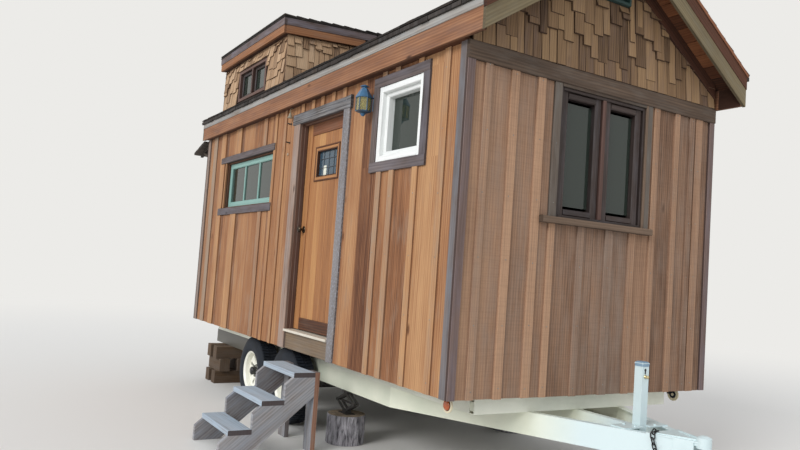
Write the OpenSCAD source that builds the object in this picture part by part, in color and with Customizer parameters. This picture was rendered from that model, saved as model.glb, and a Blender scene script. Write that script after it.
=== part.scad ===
// Tiny house on a tandem-axle trailer, standing on its tongue jack, props and wheels, with entry steps.
// X runs towards the tongue, Y away from the door side and Z up from the ground.
// Distances along the house are measured back from the face of its tongue-end wall, those across it
// from the face of its door wall, and heights on it from the siding's lower edge.

/* [House] */
// Length over the end walls
body_l = 5380; // [5200:10:6400]
// Width over the side walls
body_w = 2440; // [2380:10:2540]
// Height of the siding's lower edge above the ground
ground_gap = 705; // [700:5:780]
// Height of the side walls, from the siding's lower edge to the underside of the roof
wall_h = 2435; // [2400:5:2700]
// Thickness of the walls
wall_t = 120; // [100:5:160]
// Thickness of the siding that laps down over the floor's edge
skin_t = 20; // [12:1:30]
// Thickness of the floor, joists and boards together
floor_t = 150; // [120:5:180]
// Thickness of the trim boards on the walls
trim_t = 24; // [18:1:32]
// Width of the corner boards on the side walls
corner_w = 74; // [60:1:130]
// Width of the corner boards on the end walls
corner_end_w = 72; // [60:1:120]
// Height of the band board's lower edge on the end walls
band_z = 2121; // [2121:1:2160]
// Width of the band board
band_w = 116; // [90:1:125]

/* [Roof] */
// Rise of the roof for each 12 of run
roof_rise = 8; // [7:0.5:9]
// Thickness of the roof boards and rafters, square to the slope
roof_t = 74; // [60:1:100]
// Thickness of the shingle covering
shingle_t = 36; // [20:1:45]
// Overhang of the eaves, to the face of the fascia
eave_out = 82; // [60:1:140]
// Overhang of the roof at the tongue end
front_out = 245; // [120:5:300]
// Overhang of the roof at the rear
rear_out = 90; // [60:5:200]
// Thickness of the fascia and rake boards
fascia_t = 25; // [20:1:35]
// Height of the fascia's lower edge
fascia_z = 2239; // [2239:1:2260]
// Height of the fascia's upper band, which stands proud of the board
fascia_band_h = 100; // [60:1:120]
// How far the upper band stands proud
fascia_band_out = 6; // [3:1:12]
// How far the shingles reach past the fascia and rakes
shingle_out = 10; // [8:1:20]
// Depth of the rake boards, measured plumb
rake_h = 235; // [180:5:260]
// Depth of the frieze board under the rakes, measured plumb
frieze_h = 120; // [60:5:125]

/* [Dormer] */
// Distance from the rear wall to the dormer
dormer_in = 460; // [400:10:600]
// Length of the dormer
dormer_l = 1880; // [1500:10:1900]
// Height of the dormer's front wall above the top of the side walls
dormer_rise = 601; // [560:1:620]
// Run of the dormer's roof to where it meets the main roof, as a share of half the width
dormer_reach = 0.89; // [0.86:0.01:0.92]
// Thickness of the dormer's walls
dormer_wall_t = 100; // [80:5:120]
// Depth of the dormer's fascia and roof
dormer_fascia_h = 152; // [120:2:160]
// Overhang of the dormer's roof at its front
dormer_out = 74; // [50:1:110]
// Overhang of the dormer's roof at its sides, without the fascia
dormer_side_out = 20; // [10:1:40]

/* [Door] */
// Distance from the tongue-end wall to the doorway
door_at = 1662; // [1600:2:1700]
// Width of the doorway between its jambs
door_w = 867; // [780:1:900]
// Height of the doorway's head
door_head_z = 2056; // [2000:2:2070]
// Thickness of the door's sill board
sill_t = 22; // [18:1:30]
// How far the sill board stands out of the wall
sill_out = 34; // [26:1:60]
// Thickness of the jambs
jamb_t = 25; // [20:1:35]
// Thickness of the door
door_t = 45; // [38:1:50]
// Gap between the door and its frame
door_gap = 7; // [6:1:10]
// Depth of the raised boards round the door's edge
door_rail_t = 9; // [6:1:12]
// Width of the raised boards round the door's edge
door_rail_w = 105; // [80:1:130]
// Radius of the hinge pins
hinge_pin_r = 4; // [3:0.5:5]
// Length of each hinge
hinge_l = 100; // [75:5:125]
// Width and height of the small window in the door
door_light = [400, 240];
// Height of the door window's lower edge
door_light_z = 1550; // [1450:10:1600]
// Height of the knob
knob_z = 1080; // [1000:10:1150]

/* [Windows] */
// White window: start from the tongue end, length, lower edge and height
white_win = [482, 603, 1561, 571];
// Green window: start from the tongue end, length, lower edge and height
green_win = [3163, 1452, 1350, 530];
// End windows: start from the door side, width, lower edge and height
end_win = [790, 855, 1200, 900];
// Dormer window: start from the dormer's tongue end, length, drop from the wall's top and height
dormer_win = [545, 840, 110, 354];
// Vent in the end walls' peaks: width, drop from the peak and height
vent_win = [380, 284, 152];
// Thickness of the window glass
glass_t = 6; // [4:1:10]
// Clearance round the glass and other pieces that are let in
fit_gap = 0.3; // [0.2:0.1:0.5]
// Width of the casing boards round the white window
white_casing_w = 76; // [60:1:90]
// Width of the casing boards round the end windows
end_casing_w = 68; // [60:1:90]

/* [Trailer] */
// Distance of the main rails from the faces of the side walls
rail_in = 290; // [280:5:330]
// Height of the main rails
rail_h = 152; // [120:2:160]
// Width of the rails' flanges
rail_w = 51; // [45:1:60]
// Thickness of the rails' webs and flanges
rail_wall = 6; // [5:1:8]
// Distance from the tongue-end wall back to where the rails bend inwards
bend_at = 1130; // [1100:10:1200]
// Angle of the tongue's sides
tongue_angle = 24; // [23:0.5:26]
// Height of the deck frame on top of the rails
deck_h = 120; // [100:5:130]
// Width of the deck frame's channels
deck_w = 50; // [40:1:60]
// Thickness of the deck frame's channels
deck_wall = 5; // [4:1:8]
// Distance from the tongue-end wall back to the front cross channel
deck_front_at = 100; // [80:5:120]
// Largest spacing of the cross members
cross_pitch = 610; // [400:5:660]
// Width of the centre beam and of the cross members at rail height
beam_w = 52; // [45:1:60]
// Distance from where the rails end forward to the coupler's ball centre
ball_ahead = 141; // [135:1:190]
// Radius of the coupler's ball socket, for a 58.7 mm ball
socket_r = 29.9; // [29.6:0.1:30.5]
// Depth of the coupler's side plates under its top
coupler_h = 90; // [60:5:110]
// Distance from where the rails end back to the tongue jack
jack_behind = 329; // [300:1:360]
// Width of the tongue jack's square tube
jack_w = 62; // [56:1:90]
// Height of the tongue jack's tube above the ground, under its cap
jack_top = 980; // [900:2:1100]
// Distance from the top of the jack's tube down to the top of its leg
jack_leg_in = 200; // [150:10:300]
// Clearance between sloping pieces that lie on each other
seam = 0.3; // [0.2:0.1:0.5]

/* [Wheels] */
// Distance from the tongue-end wall back to the rear axle
rear_axle_at = 3510; // [3450:10:3560]
// Distance between the axles
axle_gap = 860; // [840:5:900]
// Diameter of the tyres
tyre_d = 690; // [660:2:695]
// Width of the tyres
tyre_w = 205; // [185:1:215]
// Distance of the tyres' outer sides from the faces of the side walls
tyre_in = 48; // [40:1:55]
// Diameter over the rims' flanges
rim_d = 405; // [380:1:420]
// Width of the rims
rim_w = 165; // [140:1:175]
// Number of slots in each rim
slots = 8; // [6:1:10]
// Radius of the axle tubes
axle_r = 30; // [25:1:34]
// Radius of the wheel spindles
spindle_r = 20; // [16:1:22]
// Running clearance of the wheels on their spindles and of the door on its pins
run_gap = 0.1; // [0.05:0.05:0.3]
// Distance between the eyes of each leaf spring
spring_l = 640; // [600:5:660]
// Width of the leaf springs
spring_w = 45; // [40:1:50]
// Thickness of one leaf
leaf_t = 7; // [6:1:8]
// Number of leaves
leaves = 4; // [3:1:4]

/* [Steps] */
// Distance from the tongue-end wall to the steps
steps_at = 1612; // [1560:2:1650]
// Width of the steps over their treads
steps_w = 650; // [550:10:750]
// Rise from tread to tread
tread_rise = 208; // [190:1:212]
// Distance from tread to tread
tread_run = 246; // [230:1:270]
// Depth of a tread
tread_depth = 184; // [170:1:190]
// Thickness of the treads, stringers and legs
tread_t = 38; // [32:1:45]
// Distance of the steps' back from the face of the wall
steps_back = 78; // [60:1:90]
// Width of the steps' legs
leg_w = 134; // [100:1:150]

/* [Props] */
// Distance from the tongue-end wall back to the scissor jacks
prop_at = 1850; // [1800:10:1900]
// Diameter of the log stumps
stump_d = 330; // [300:5:360]
// Height of the log stumps
stump_h = 240; // [220:5:260]
// Distance from the rear wall forward to the timber cribs
crib_in = 430; // [350:10:500]
// How far the pent hood reaches out of the rear wall
hood_out = 450; // [380:10:500]
// How far the pent hood's roof reaches past the side walls
hood_side = 75; // [0:5:90]

/* [Fittings] */
// Distance from the tongue-end wall to the wall lantern
lantern_at = 1185; // [1185:5:1250]
// Distance of the lantern's middle from the face of the wall
lantern_out = 95; // [80:5:120]
// Height of the lantern's lower tip
lantern_z = 1915; // [1900:5:1960]
// Radius of the lantern's body over its corners
lantern_r = 60; // [52:1:75]
// Distance from the tongue-end wall back to the marker lamps
lamp_at = 150; // [120:5:200]
// Distance of the marker lamps from the faces of the side walls
lamp_in = 121; // [100:1:180]
// Drop from the floor's underside to the middle of the marker lamps
lamp_drop = 60; // [54:1:80]
// Radius of the marker lamps' housings
lamp_r = 50; // [40:1:52]

/* [Hidden] */
$fn = 64;
slope = roof_rise / 12;
pitch = atan(slope);
roof_tv = roof_t / cos(pitch);
shingle_tv = shingle_t / cos(pitch);
ridge_y = body_w / 2;
rail_top = ground_gap - deck_h;
rail_z = rail_top - rail_h;
rail_end = (ridge_y - beam_w / 2 - 5 - rail_in - rail_w / cos(tongue_angle)) / tan(tongue_angle) - bend_at;
rail_tip = round(rail_end);
ball_at = rail_tip + ball_ahead;
jack_at = rail_tip - jack_behind;
fascia_top = roof_over(-eave_out);
dormer_h = wall_h + dormer_rise;
dormer_at = body_l - dormer_in - dormer_l;
dormer_slope = slope - (dormer_rise + dormer_fascia_h - roof_tv) / (dormer_reach * ridge_y);
dormer_meets = dormer_back(0);
dormer_slab_end = dormer_back(dormer_fascia_h);
leaf_y = door_y0();
hinge_x = -door_at - door_gap / 2;
hinge_y = leaf_y + door_t + 3 + hinge_pin_r + 3;
hub_z = tyre_d / 2;
wheel_y = tyre_in + tyre_w / 2;
axles_x = [-rear_axle_at + axle_gap, -rear_axle_at];
treads = 3;
step_clip = 62;
tread_gap = tread_t;
steps_front = steps_back + tread_gap + tread_depth + (treads - 1) * tread_run + step_clip;
nose_r = 44;
nose_x = ball_at + nose_r;
over_y = shingle_out + eave_out;
mid_x = (nose_x - body_l - hood_out) / 2;
mid_y = (body_w + over_y - steps_front) / 2;

// Height of the roof's underside over the distance y from the door wall
function roof_under(y) = wall_h + slope * min(y, body_w - y);
// Height of the roof boards' lower side, just clear of the walls
function roof_low(y) = roof_under(y) + seam;
// Height of the top of the roof boards
function roof_over(y) = roof_under(y) + roof_tv;
// Underside of the dormer's roof
function dormer_under(y) = dormer_h + dormer_slope * y;
// Distance at which a plane that lies rise above the dormer's ceiling meets the main roof boards
function dormer_back(rise) = (dormer_rise + rise - roof_tv) / (slope - dormer_slope);
// Outer face of the door, set so that its inner face lies just inside the wall
function door_y0() = wall_t - 3 - door_t;

// A box between pairs of limits
module span(x, y, z) {
    translate([x[0], y[0], z[0]]) cube([x[1] - x[0], y[1] - y[0], z[1] - z[0]]);
}

// An outline in Y and Z carried along X
module along_x(x) {
    translate([x[0], 0, 0]) rotate([90, 0, 90]) linear_extrude(x[1] - x[0]) children();
}

// An outline in X and Z carried along Y
module along_y(y) {
    translate([0, y[1], 0]) rotate([90, 0, 0]) linear_extrude(y[1] - y[0]) children();
}

// From heights on the house and the house's corner to the part's own origin
module on_house() {
    translate([-mid_x, -mid_y, ground_gap]) children();
}

// From heights above the ground to the part's own origin
module on_ground() {
    translate([-mid_x, -mid_y, 0]) children();
}

module far_side() {
    translate([0, body_w, 0]) mirror([0, 1, 0]) children();
}

module both_sides() {
    children();
    far_side() children();
}

// Turns what is drawn on the door wall onto the tongue-end wall
module on_front() {
    rotate([0, 0, 90]) children();
}

module on_rear() {
    translate([-body_l, 0, 0]) mirror([1, 0, 0]) on_front() children();
}

module both_ends() {
    on_front() children();
    on_rear() children();
}

// Limits of a side window, which are given back from the tongue end
function side_x(win) = [-win[0] - win[1], -win[0]];
function win_u(win) = [win[0], win[0] + win[1]];
dormer_win_x = [-dormer_at - dormer_win[0] - dormer_win[1], -dormer_at - dormer_win[0]];
dormer_win_z = [dormer_h - dormer_win[2] - dormer_win[3], dormer_h - dormer_win[2]];
vent_u = [ridge_y - vent_win[0] / 2, ridge_y + vent_win[0] / 2];
vent_z = [roof_under(ridge_y) - vent_win[1] - vent_win[2], roof_under(ridge_y) - vent_win[1]];
function win_z(win) = [win[2], win[2] + win[3]];
function grown(r, by) = [r[0] - by, r[1] + by];

// A rectangular ring in X and Z, of a given width inside its limits
module ring(x, y, z, width) {
    difference() {
        span(x, y, z);
        span(grown(x, -width), grown(y, 1), grown(z, -width));
    }
}

// What the floor takes out of the walls' feet
module floor_space() {
    span([-body_l + skin_t, -skin_t], [skin_t, body_w - skin_t], [-1, floor_t]);
}

module through_wall(x, z) {
    span(x, [-1, wall_t + 1], z);
}

// Plan of a main rail: straight under the house, then bent in towards the coupler
module rail_plan(width) {
    x0 = -body_l + 20;
    tip_y = rail_in + (rail_end + bend_at) * tan(tongue_angle);
    polygon([
        [x0, rail_in], [-bend_at, rail_in], [rail_end, tip_y], [rail_end, tip_y + width / cos(tongue_angle)],
        [-bend_at - width * tan(tongue_angle / 2), rail_in + width], [x0, rail_in + width]
    ]);
}

module bent_rail() {
    translate([0, 0, rail_z]) {
        linear_extrude(rail_h) rail_plan(rail_wall);
        linear_extrude(rail_wall) rail_plan(rail_w);
        translate([0, 0, rail_h - rail_wall]) linear_extrude(rail_wall) rail_plan(rail_w);
    }
}

module main_rails() {
    color("ivory") on_ground() both_sides() bent_rail();
}

module centre_beam() {
    color("ivory") on_ground()
        span([-bend_at - rail_wall, jack_at - jack_w / 2], [ridge_y - beam_w / 2, ridge_y + beam_w / 2],
             [rail_z, rail_top]);
}

// Cross members at rail height, from web to web
module cross_members() {
    color("ivory") on_ground() for (x = [-bend_at - rail_wall - beam_w, -body_l / 2, -body_l + 60])
        span([x, x + beam_w], [rail_in + rail_wall, body_w - rail_in - rail_wall],
             [rail_z + rail_wall, rail_top - rail_wall]);
}

// Section of a channel that opens towards +u
module channel_section() {
    difference() {
        square([deck_w, deck_h]);
        translate([deck_wall, deck_wall]) square([deck_w, deck_h - 2 * deck_wall]);
    }
}

module deck_frame() {
    back = body_l - 40;
    bays = ceil((back - deck_front_at) / cross_pitch);
    color("ivory") on_ground() translate([0, 0, rail_top]) {
        both_sides() along_x([-back, -deck_front_at - deck_w]) translate([rail_in, 0]) channel_section();
        for (i = [0 : bays - 1]) along_y([rail_in, body_w - rail_in])
            translate([-deck_front_at - (back - deck_front_at) * i / bays, 0])
                mirror([1, 0]) channel_section();
        along_y([rail_in, body_w - rail_in]) translate([-back, 0]) channel_section();
    }
}

// Coupler: a pressed plate over the tongue's point with side plates ahead of the rails, and a ball socket
// under its nose
module coupler() {
    plate_t = 8;
    root_x = rail_end - 150;
    root_w = ridge_y - rail_in - (root_x + bend_at) * tan(tongue_angle);
    tip_x = ball_at - 10;
    socket_h = 62;
    side_x = [rail_end + 1, ball_at - nose_r + 10];
    edge = function (x) root_w + (nose_r - root_w) * (x - root_x) / (tip_x - root_x);
    color("white") on_ground() translate([0, ridge_y, rail_top]) {
        difference() {
            union() {
                linear_extrude(plate_t) polygon([
                    [root_x, -root_w], [tip_x, -nose_r], [tip_x, nose_r], [root_x, root_w]
                ]);
                for (s = [-1, 1]) hull() {
                    translate([root_x + 40, s * (root_w - 45) - 7, 0]) cube([6, 14, 13]);
                    translate([tip_x - 20, s * 22 - 7, 0]) cube([6, 14, 20]);
                }
                for (s = [0, 1]) mirror([0, s, 0]) translate([0, 0, -coupler_h])
                    linear_extrude(coupler_h + 1) polygon([
                        [side_x[0], -edge(side_x[0])], [side_x[1], -edge(side_x[1])],
                        [side_x[1], -edge(side_x[1]) + plate_t], [side_x[0], -edge(side_x[0]) + plate_t]
                    ]);
                translate([ball_at, 0, -socket_h + 32]) cylinder(r = nose_r, h = socket_h);
                span([rail_end, ball_at], [-nose_r, nose_r], [-socket_h + 44, 0]);
            }
            translate([ball_at, 0, -socket_h + 31]) cylinder(r = socket_r, h = 42);
            span([rail_end - 1, ball_at - nose_r], [-nose_r + plate_t, nose_r - plate_t], [-socket_h, 0]);
        }
        translate([ball_at, 0, 32]) cylinder(r1 = nose_r, r2 = 20, h = 10);
    }
}

module jack_post() {
    inner = jack_w / 2 - 5;
    y = ridge_y;
    rail_y = rail_in + (jack_at + bend_at) * tan(tongue_angle);
    cap_r = (jack_w + 3) / sqrt(2);
    color("white") on_ground() {
        difference() {
            span([jack_at - jack_w / 2, jack_at + jack_w / 2], [y - jack_w / 2, y + jack_w / 2],
                 [rail_z, jack_top]);
            span([jack_at - inner, jack_at + inner], [y - inner, y + inner], [rail_z - 1, jack_top - 5]);
        }
        translate([jack_at, y, jack_top]) rotate(45) {
            cylinder(r = cap_r, h = 9, $fn = 4);
            translate([0, 0, 9]) cylinder(r1 = cap_r, r2 = cap_r * 0.7, h = 7, $fn = 4);
        }
        for (s = [-1, 1]) translate([0, y, 0]) mirror([0, s > 0 ? 1 : 0, 0])
            span([jack_at - 60, jack_at + 60], [rail_y - y + 30, -jack_w / 2], [rail_top, rail_top + 8]);
    }
}

module jack_leg() {
    half = jack_w / 2 - 5 - fit_gap;
    foot = 100;
    color("silver") on_ground() {
        span([jack_at - half, jack_at + half], [ridge_y - half, ridge_y + half],
             [12, jack_top - jack_leg_in]);
        span([jack_at - foot, jack_at + foot], [ridge_y - foot, ridge_y + foot], [0, 12]);
    }
}

module axles() {
    spindle_y = wheel_y - 30;
    shoulder_y = wheel_y + 58;
    color("dimgray") on_ground() for (x = axles_x) translate([x, 0, hub_z]) {
        translate([0, shoulder_y, 0]) rotate([-90, 0, 0]) cylinder(r = axle_r, h = body_w - 2 * shoulder_y);
        translate([0, spindle_y, 0]) rotate([-90, 0, 0]) cylinder(r = spindle_r, h = body_w - 2 * spindle_y);
    }
}

// Leaf spring seen from the side: leaves of falling length, and an eye at each end
spring_y = [rail_in + (rail_w - spring_w) / 2, rail_in + (rail_w + spring_w) / 2];
seat_z = hub_z + axle_r + 4;
eye_r = 13;
spring_pin_r = 5.7;
eye_z = seat_z + leaves * leaf_t + 4.5;
spring_rise = 10;
spring_pieces = 8;

function bow(x) = spring_rise * pow(2 * x / spring_l, 2);

// One leaf from its middle out to both ends, in pieces of one length so that the leaves nest
module leaf_strip(pieces, low, high) {
    step = spring_l / 2 / spring_pieces;
    polygon(concat(
        [for (i = [-pieces : pieces]) [i * step, low + bow(i * step)]],
        [for (i = [pieces : -1 : -pieces]) [i * step, high + bow(i * step)]]
    ));
}

module leaf_spring() {
    top = leaves * leaf_t;
    along_y(spring_y) difference() {
        union() {
            for (i = [0 : leaves - 1])
                leaf_strip(spring_pieces - 2 * (leaves - 1 - i), i * leaf_t, min((i + 1) * leaf_t + 2, top));
            for (s = [-1, 1]) translate([s * spring_l / 2, eye_z - seat_z]) circle(eye_r);
        }
        for (s = [-1, 1]) translate([s * spring_l / 2, eye_z - seat_z]) circle(spring_pin_r + fit_gap);
    }
    span([-45, 45], [spring_y[0] - 4, spring_y[1] + 4], [top - 3, top + 8]);
    span([-45, 45], [spring_y[0] - 3, spring_y[1] + 3], [-4, 3]);
}

module leaf_springs() {
    color("#2b2b2c") on_ground() both_sides() for (x = axles_x) translate([x, 0, seat_z]) leaf_spring();
}

// Brackets that carry the spring eyes under the rails, and the equalizers between the springs
module spring_hangers() {
    mid = (axles_x[0] + axles_x[1]) / 2;
    eye = eye_z;
    color("#333334") on_ground() both_sides() {
        for (x = [axles_x[0] + spring_l / 2, axles_x[1] - spring_l / 2]) difference() {
            along_y([spring_y[0] - 6, spring_y[1] + 6]) polygon([
                [x - 45, rail_z], [x + 45, rail_z], [x + 20, eye - 22], [x - 20, eye - 22]
            ]);
            span([x - 50, x + 50], grown(spring_y, fit_gap), [0, rail_z - 4]);
        }
        for (x = [axles_x[0] + spring_l / 2, axles_x[1] - spring_l / 2])
            translate([x, spring_y[0] - 9, eye]) rotate([-90, 0, 0])
                cylinder(r = spring_pin_r, h = spring_w + 18);
        difference() {
            along_y([spring_y[0] - 6, spring_y[1] + 6]) polygon([
                [mid - 50, rail_z], [mid + 50, rail_z], [mid + 24, eye - 60], [mid - 24, eye - 60]
            ]);
            span([mid - 60, mid + 60], grown(spring_y, -4), [0, rail_z - 4]);
        }
        for (s = [-1, 1]) {
            x = mid + s * (axle_gap - spring_l) / 2;
            along_y([spring_y[0] - 6, spring_y[0] - fit_gap]) equalizer_link(mid, x, eye);
            along_y([spring_y[1] + fit_gap, spring_y[1] + 6]) equalizer_link(mid, x, eye);
            translate([x, spring_y[0] - 6, eye]) rotate([-90, 0, 0])
                cylinder(r = spring_pin_r, h = spring_w + 12);
        }
    }
}

module equalizer_link(mid, x, eye) {
    polygon([[mid - 14, eye - 52], [mid + 14, eye - 52], [x + 13, eye - 4], [x + 13, eye + 10],
             [x - 13, eye + 10], [x - 13, eye - 4]]);
}

// Half section of a tyre: flat tread, round shoulders and bulged sidewalls down to the beads
module tyre_section() {
    bead_r = rim_d / 2 - 16;
    mid_r = (bead_r + tyre_d / 2) / 2;
    tall = (tyre_d / 2 - bead_r) / 2;
    half = tyre_w / 2;
    steps = 40;
    difference() {
        polygon([for (i = [0 : steps - 1])
            let (a = 360 * i / steps, c = cos(a), s = sin(a))
            [mid_r + tall * sign(s) * pow(abs(s), s > 0 ? 0.36 : 0.5), half * sign(c) * pow(abs(c), 0.62)]]);
        translate([0, -half]) square([bead_r, tyre_w]);
    }
}

// A wheel piece drawn about Z with its outer side up, moved to its place on an axle
module at_wheel(x, far) {
    on_ground() translate([0, far ? body_w : 0, 0]) mirror([0, far ? 1 : 0, 0])
        translate([x, wheel_y, hub_z]) rotate([90, 0, 0]) children();
}

module tyre() {
    color("#242423") rotate_extrude($fn = 96) tyre_section();
}

// Slotted steel rim: barrel with flanges, dished disc with slots, hub with its grease cap
module rim() {
    seat_r = rim_d / 2 - 16 - fit_gap;
    barrel_r = seat_r - 5;
    half = rim_w / 2;
    disc_z = 18;
    color("whitesmoke") difference() {
        rotate_extrude($fn = 96) polygon([
            [0, -52], [46, -52], [46, disc_z - 16], [100, disc_z - 6], [150, disc_z - 2],
            [barrel_r, disc_z - 14], [barrel_r - 10, -20], [barrel_r - 4, -half + 6],
            [rim_d / 2 - 5, -half - 9], [rim_d / 2, -half - 5.5], [rim_d / 2 - 6, -half + 1.5],
            [seat_r, -half + 8], [seat_r, half - 8], [rim_d / 2 - 6, half - 1.5],
            [rim_d / 2, half + 5.5], [rim_d / 2 - 5, half + 9], [barrel_r - 2, half - 8],
            [barrel_r - 6, disc_z + 12],
            [152, disc_z + 14], [100, disc_z + 6], [72, disc_z + 2], [58, disc_z + 10], [40, disc_z + 12],
            [38, disc_z + 52], [30, disc_z + 60], [0, disc_z + 60]
        ]);
        for (i = [0 : slots - 1]) rotate([0, 0, 360 * (i + 0.5) / slots]) translate([0, 0, disc_z - 30])
            linear_extrude(80) polygon([[92, -9], [146, -20], [154, -12], [154, 12], [146, 20], [92, 9]]);
        translate([0, 0, -53]) cylinder(r = spindle_r + run_gap, h = 53 + 31);
    }
}

module front_near_tyre() { at_wheel(axles_x[0], false) tyre(); }
module rear_near_tyre() { at_wheel(axles_x[1], false) tyre(); }
module front_far_tyre() { at_wheel(axles_x[0], true) tyre(); }
module rear_far_tyre() { at_wheel(axles_x[1], true) tyre(); }
module front_near_rim() { at_wheel(axles_x[0], false) rim(); }
module rear_near_rim() { at_wheel(axles_x[1], false) rim(); }
module front_far_rim() { at_wheel(axles_x[0], true) rim(); }
module rear_far_rim() { at_wheel(axles_x[1], true) rim(); }

module floor() {
    color("burlywood") on_house()
        span([-body_l + skin_t, -skin_t], [skin_t, body_w - skin_t], [0, floor_t]);
}

// Side wall between two places along the house, its top cut to the roof's slope
module side_wall(x, z0) {
    difference() {
        along_x(x) polygon([[0, z0], [wall_t, z0], [wall_t, roof_under(wall_t)], [0, roof_under(0)]]);
        floor_space();
    }
}

module near_wall_front() {
    color("#b5713d") on_house() difference() {
        side_wall([-door_at + jamb_t, -wall_t], 0);
        through_wall(side_x(white_win), win_z(white_win));
    }
}

module near_wall_rear() {
    color("#b5713d") on_house() difference() {
        side_wall([-body_l + wall_t, -door_at - door_w - jamb_t], 0);
        through_wall(side_x(green_win), win_z(green_win));
    }
}

module near_wall_over_door() {
    color("#b5713d") on_house()
        side_wall([-door_at - door_w - jamb_t, -door_at + jamb_t], door_head_z + jamb_t);
}

module far_wall() {
    color("#a8703f") on_house() far_side() difference() {
        side_wall([-body_l + wall_t, -wall_t], 0);
        through_wall(side_x(white_win), win_z(white_win));
        through_wall(side_x(green_win), win_z(green_win));
    }
}

module gable_wall() {
    difference() {
        along_y([0, wall_t]) polygon([
            [0, 0], [body_w, 0], [body_w, roof_under(0)], [ridge_y, roof_under(ridge_y)], [0, roof_under(0)]
        ]);
        span([skin_t, body_w - skin_t], [skin_t, wall_t + 1], [-1, floor_t]);
        through_wall(win_u(end_win), win_z(end_win));
        through_wall(vent_u, vent_z);
    }
}

module front_gable_wall() {
    color("#9a7050") on_house() on_front() gable_wall();
}

module rear_gable_wall() {
    color("#9a7050") on_house() on_rear() gable_wall();
}

// One slope of the roof boards, from behind the fascia to the ridge
module roof_slab() {
    y0 = -eave_out + fascia_t;
    along_x([-body_l - rear_out + fascia_t, front_out - fascia_t]) polygon([
        [y0, roof_low(y0)], [ridge_y, roof_low(ridge_y)], [ridge_y, roof_over(ridge_y)], [y0, roof_over(y0)]
    ]);
}

dormer_x = [-dormer_at - dormer_l, -dormer_at];

module near_roof() {
    color("#8d5c36") on_house() difference() {
        roof_slab();
        span(dormer_x, [0, dormer_meets], [0, 2 * wall_h]);
    }
}

module far_roof() {
    color("#8d5c36") on_house() far_side() roof_slab();
}

// Outline of the dormer's roof between two heights above its ceiling
module dormer_roof_outline(low, high, front) {
    back_low = dormer_back(low) - 2 * seam;
    back_high = dormer_back(high) - 2 * seam;
    polygon([
        [-front, dormer_under(-front) + low], [back_low, dormer_under(back_low) + low],
        [back_high, dormer_under(back_high) + high], [-front, dormer_under(-front) + high]
    ]);
}

dormer_slab_x = grown(dormer_x, dormer_side_out);

// One slope of the shingle covering, which reaches past the fascia and the rakes
module shingle_slope() {
    low = function (y) roof_over(y) + seam;
    along_x([-body_l - rear_out - shingle_out, front_out + shingle_out]) polygon([
        [-over_y, low(-over_y)], [ridge_y, low(ridge_y)], [ridge_y, low(ridge_y) + shingle_tv],
        [-over_y, low(-over_y) + shingle_tv]
    ]);
}

module near_shingles() {
    color("#2e2724") on_house() difference() {
        shingle_slope();
        span(dormer_x, [0, dormer_meets], [0, 2 * wall_h]);
        along_x(grown(dormer_slab_x, fascia_t))
            translate([0, -1]) dormer_roof_outline(0, dormer_fascia_h + 2, 0);
        along_x(grown(dormer_slab_x, fascia_t + shingle_out)) dormer_covering();
    }
}

module far_shingles() {
    color("#2e2724") on_house() far_side() shingle_slope();
}

// Outline of the dormer's covering, which runs on up to the main roof boards
module dormer_covering() {
    front = -dormer_out - shingle_out;
    back = min(dormer_slab_end + 60, ridge_y - 60);
    polygon([
        [front, dormer_under(front) + dormer_fascia_h + seam],
        [dormer_slab_end, roof_over(dormer_slab_end) + seam], [back, roof_over(back) + seam],
        [back, roof_over(back) + shingle_tv], [front, dormer_under(front) + dormer_fascia_h + shingle_t]
    ]);
}

module dormer_shingles() {
    color("#2e2724") on_house() along_x(grown(dormer_slab_x, fascia_t + shingle_out)) dormer_covering();
}

// Fascia board with its prouder upper band, and the soffit that closes the eave under the wall's length
module eave_fascias() {
    color("#8f4b2b") on_house() both_sides() {
        along_x([-body_l - rear_out + fascia_t, front_out - fascia_t]) {
            translate([-eave_out, fascia_z]) square([fascia_t, fascia_top - fascia_z]);
            translate([-eave_out - fascia_band_out, fascia_top - fascia_band_h])
                square([fascia_t, fascia_band_h - slope * fascia_band_out]);
        }
        along_x([-body_l, 0]) translate([-eave_out, fascia_z]) square([eave_out, 20]);
    }
}

// Rake boards drawn over the end wall: lower board, prouder upper band and the frieze on the wall
module rake(out) {
    module plumb_strip(low, high, y0) {
        polygon([
            [y0, roof_over(y0) - low], [ridge_y, roof_over(ridge_y) - low],
            [body_w - y0, roof_over(y0) - low], [body_w - y0, roof_over(y0) - high],
            [ridge_y, roof_over(ridge_y) - high], [y0, roof_over(y0) - high]
        ]);
    }
    along_y([-out, -out + fascia_t]) plumb_strip(rake_h, 0, -eave_out);
    along_y([-out - fascia_band_out, -out + fascia_t]) plumb_strip(fascia_band_h, 0, -eave_out);
    along_y([-trim_t - 8, 0]) plumb_strip(roof_tv + frieze_h, roof_tv, 0);
}

module rake_boards() {
    color("#7d6d4d") on_house() {
        on_front() rake(front_out);
        on_rear() rake(rear_out);
    }
}

module corner_board() {
    linear_extrude(band_z) polygon([
        [-corner_w, -trim_t], [trim_t, -trim_t], [trim_t, corner_end_w],
        [0, corner_end_w], [0, 0], [-corner_w, 0]
    ]);
    span([-corner_w, 0], [-trim_t, 0], [0, fascia_z]);
}

module corner_boards() {
    color("#55493f") on_house() both_sides() {
        corner_board();
        translate([-body_l, 0, 0]) mirror([1, 0, 0]) corner_board();
    }
}

module band_boards() {
    color("#4e4742") on_house() both_ends()
        span([-trim_t, body_w + trim_t], [-trim_t - 6, 0], [band_z, band_z + band_w]);
}

module dormer_front() {
    color("#a87c50") on_house() difference() {
        along_x(dormer_x) polygon([
            [0, roof_under(0)], [dormer_wall_t, roof_under(dormer_wall_t)],
            [dormer_wall_t, dormer_under(dormer_wall_t) - seam], [0, dormer_under(0) - seam]
        ]);
        through_wall(dormer_win_x, dormer_win_z);
    }
}

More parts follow.
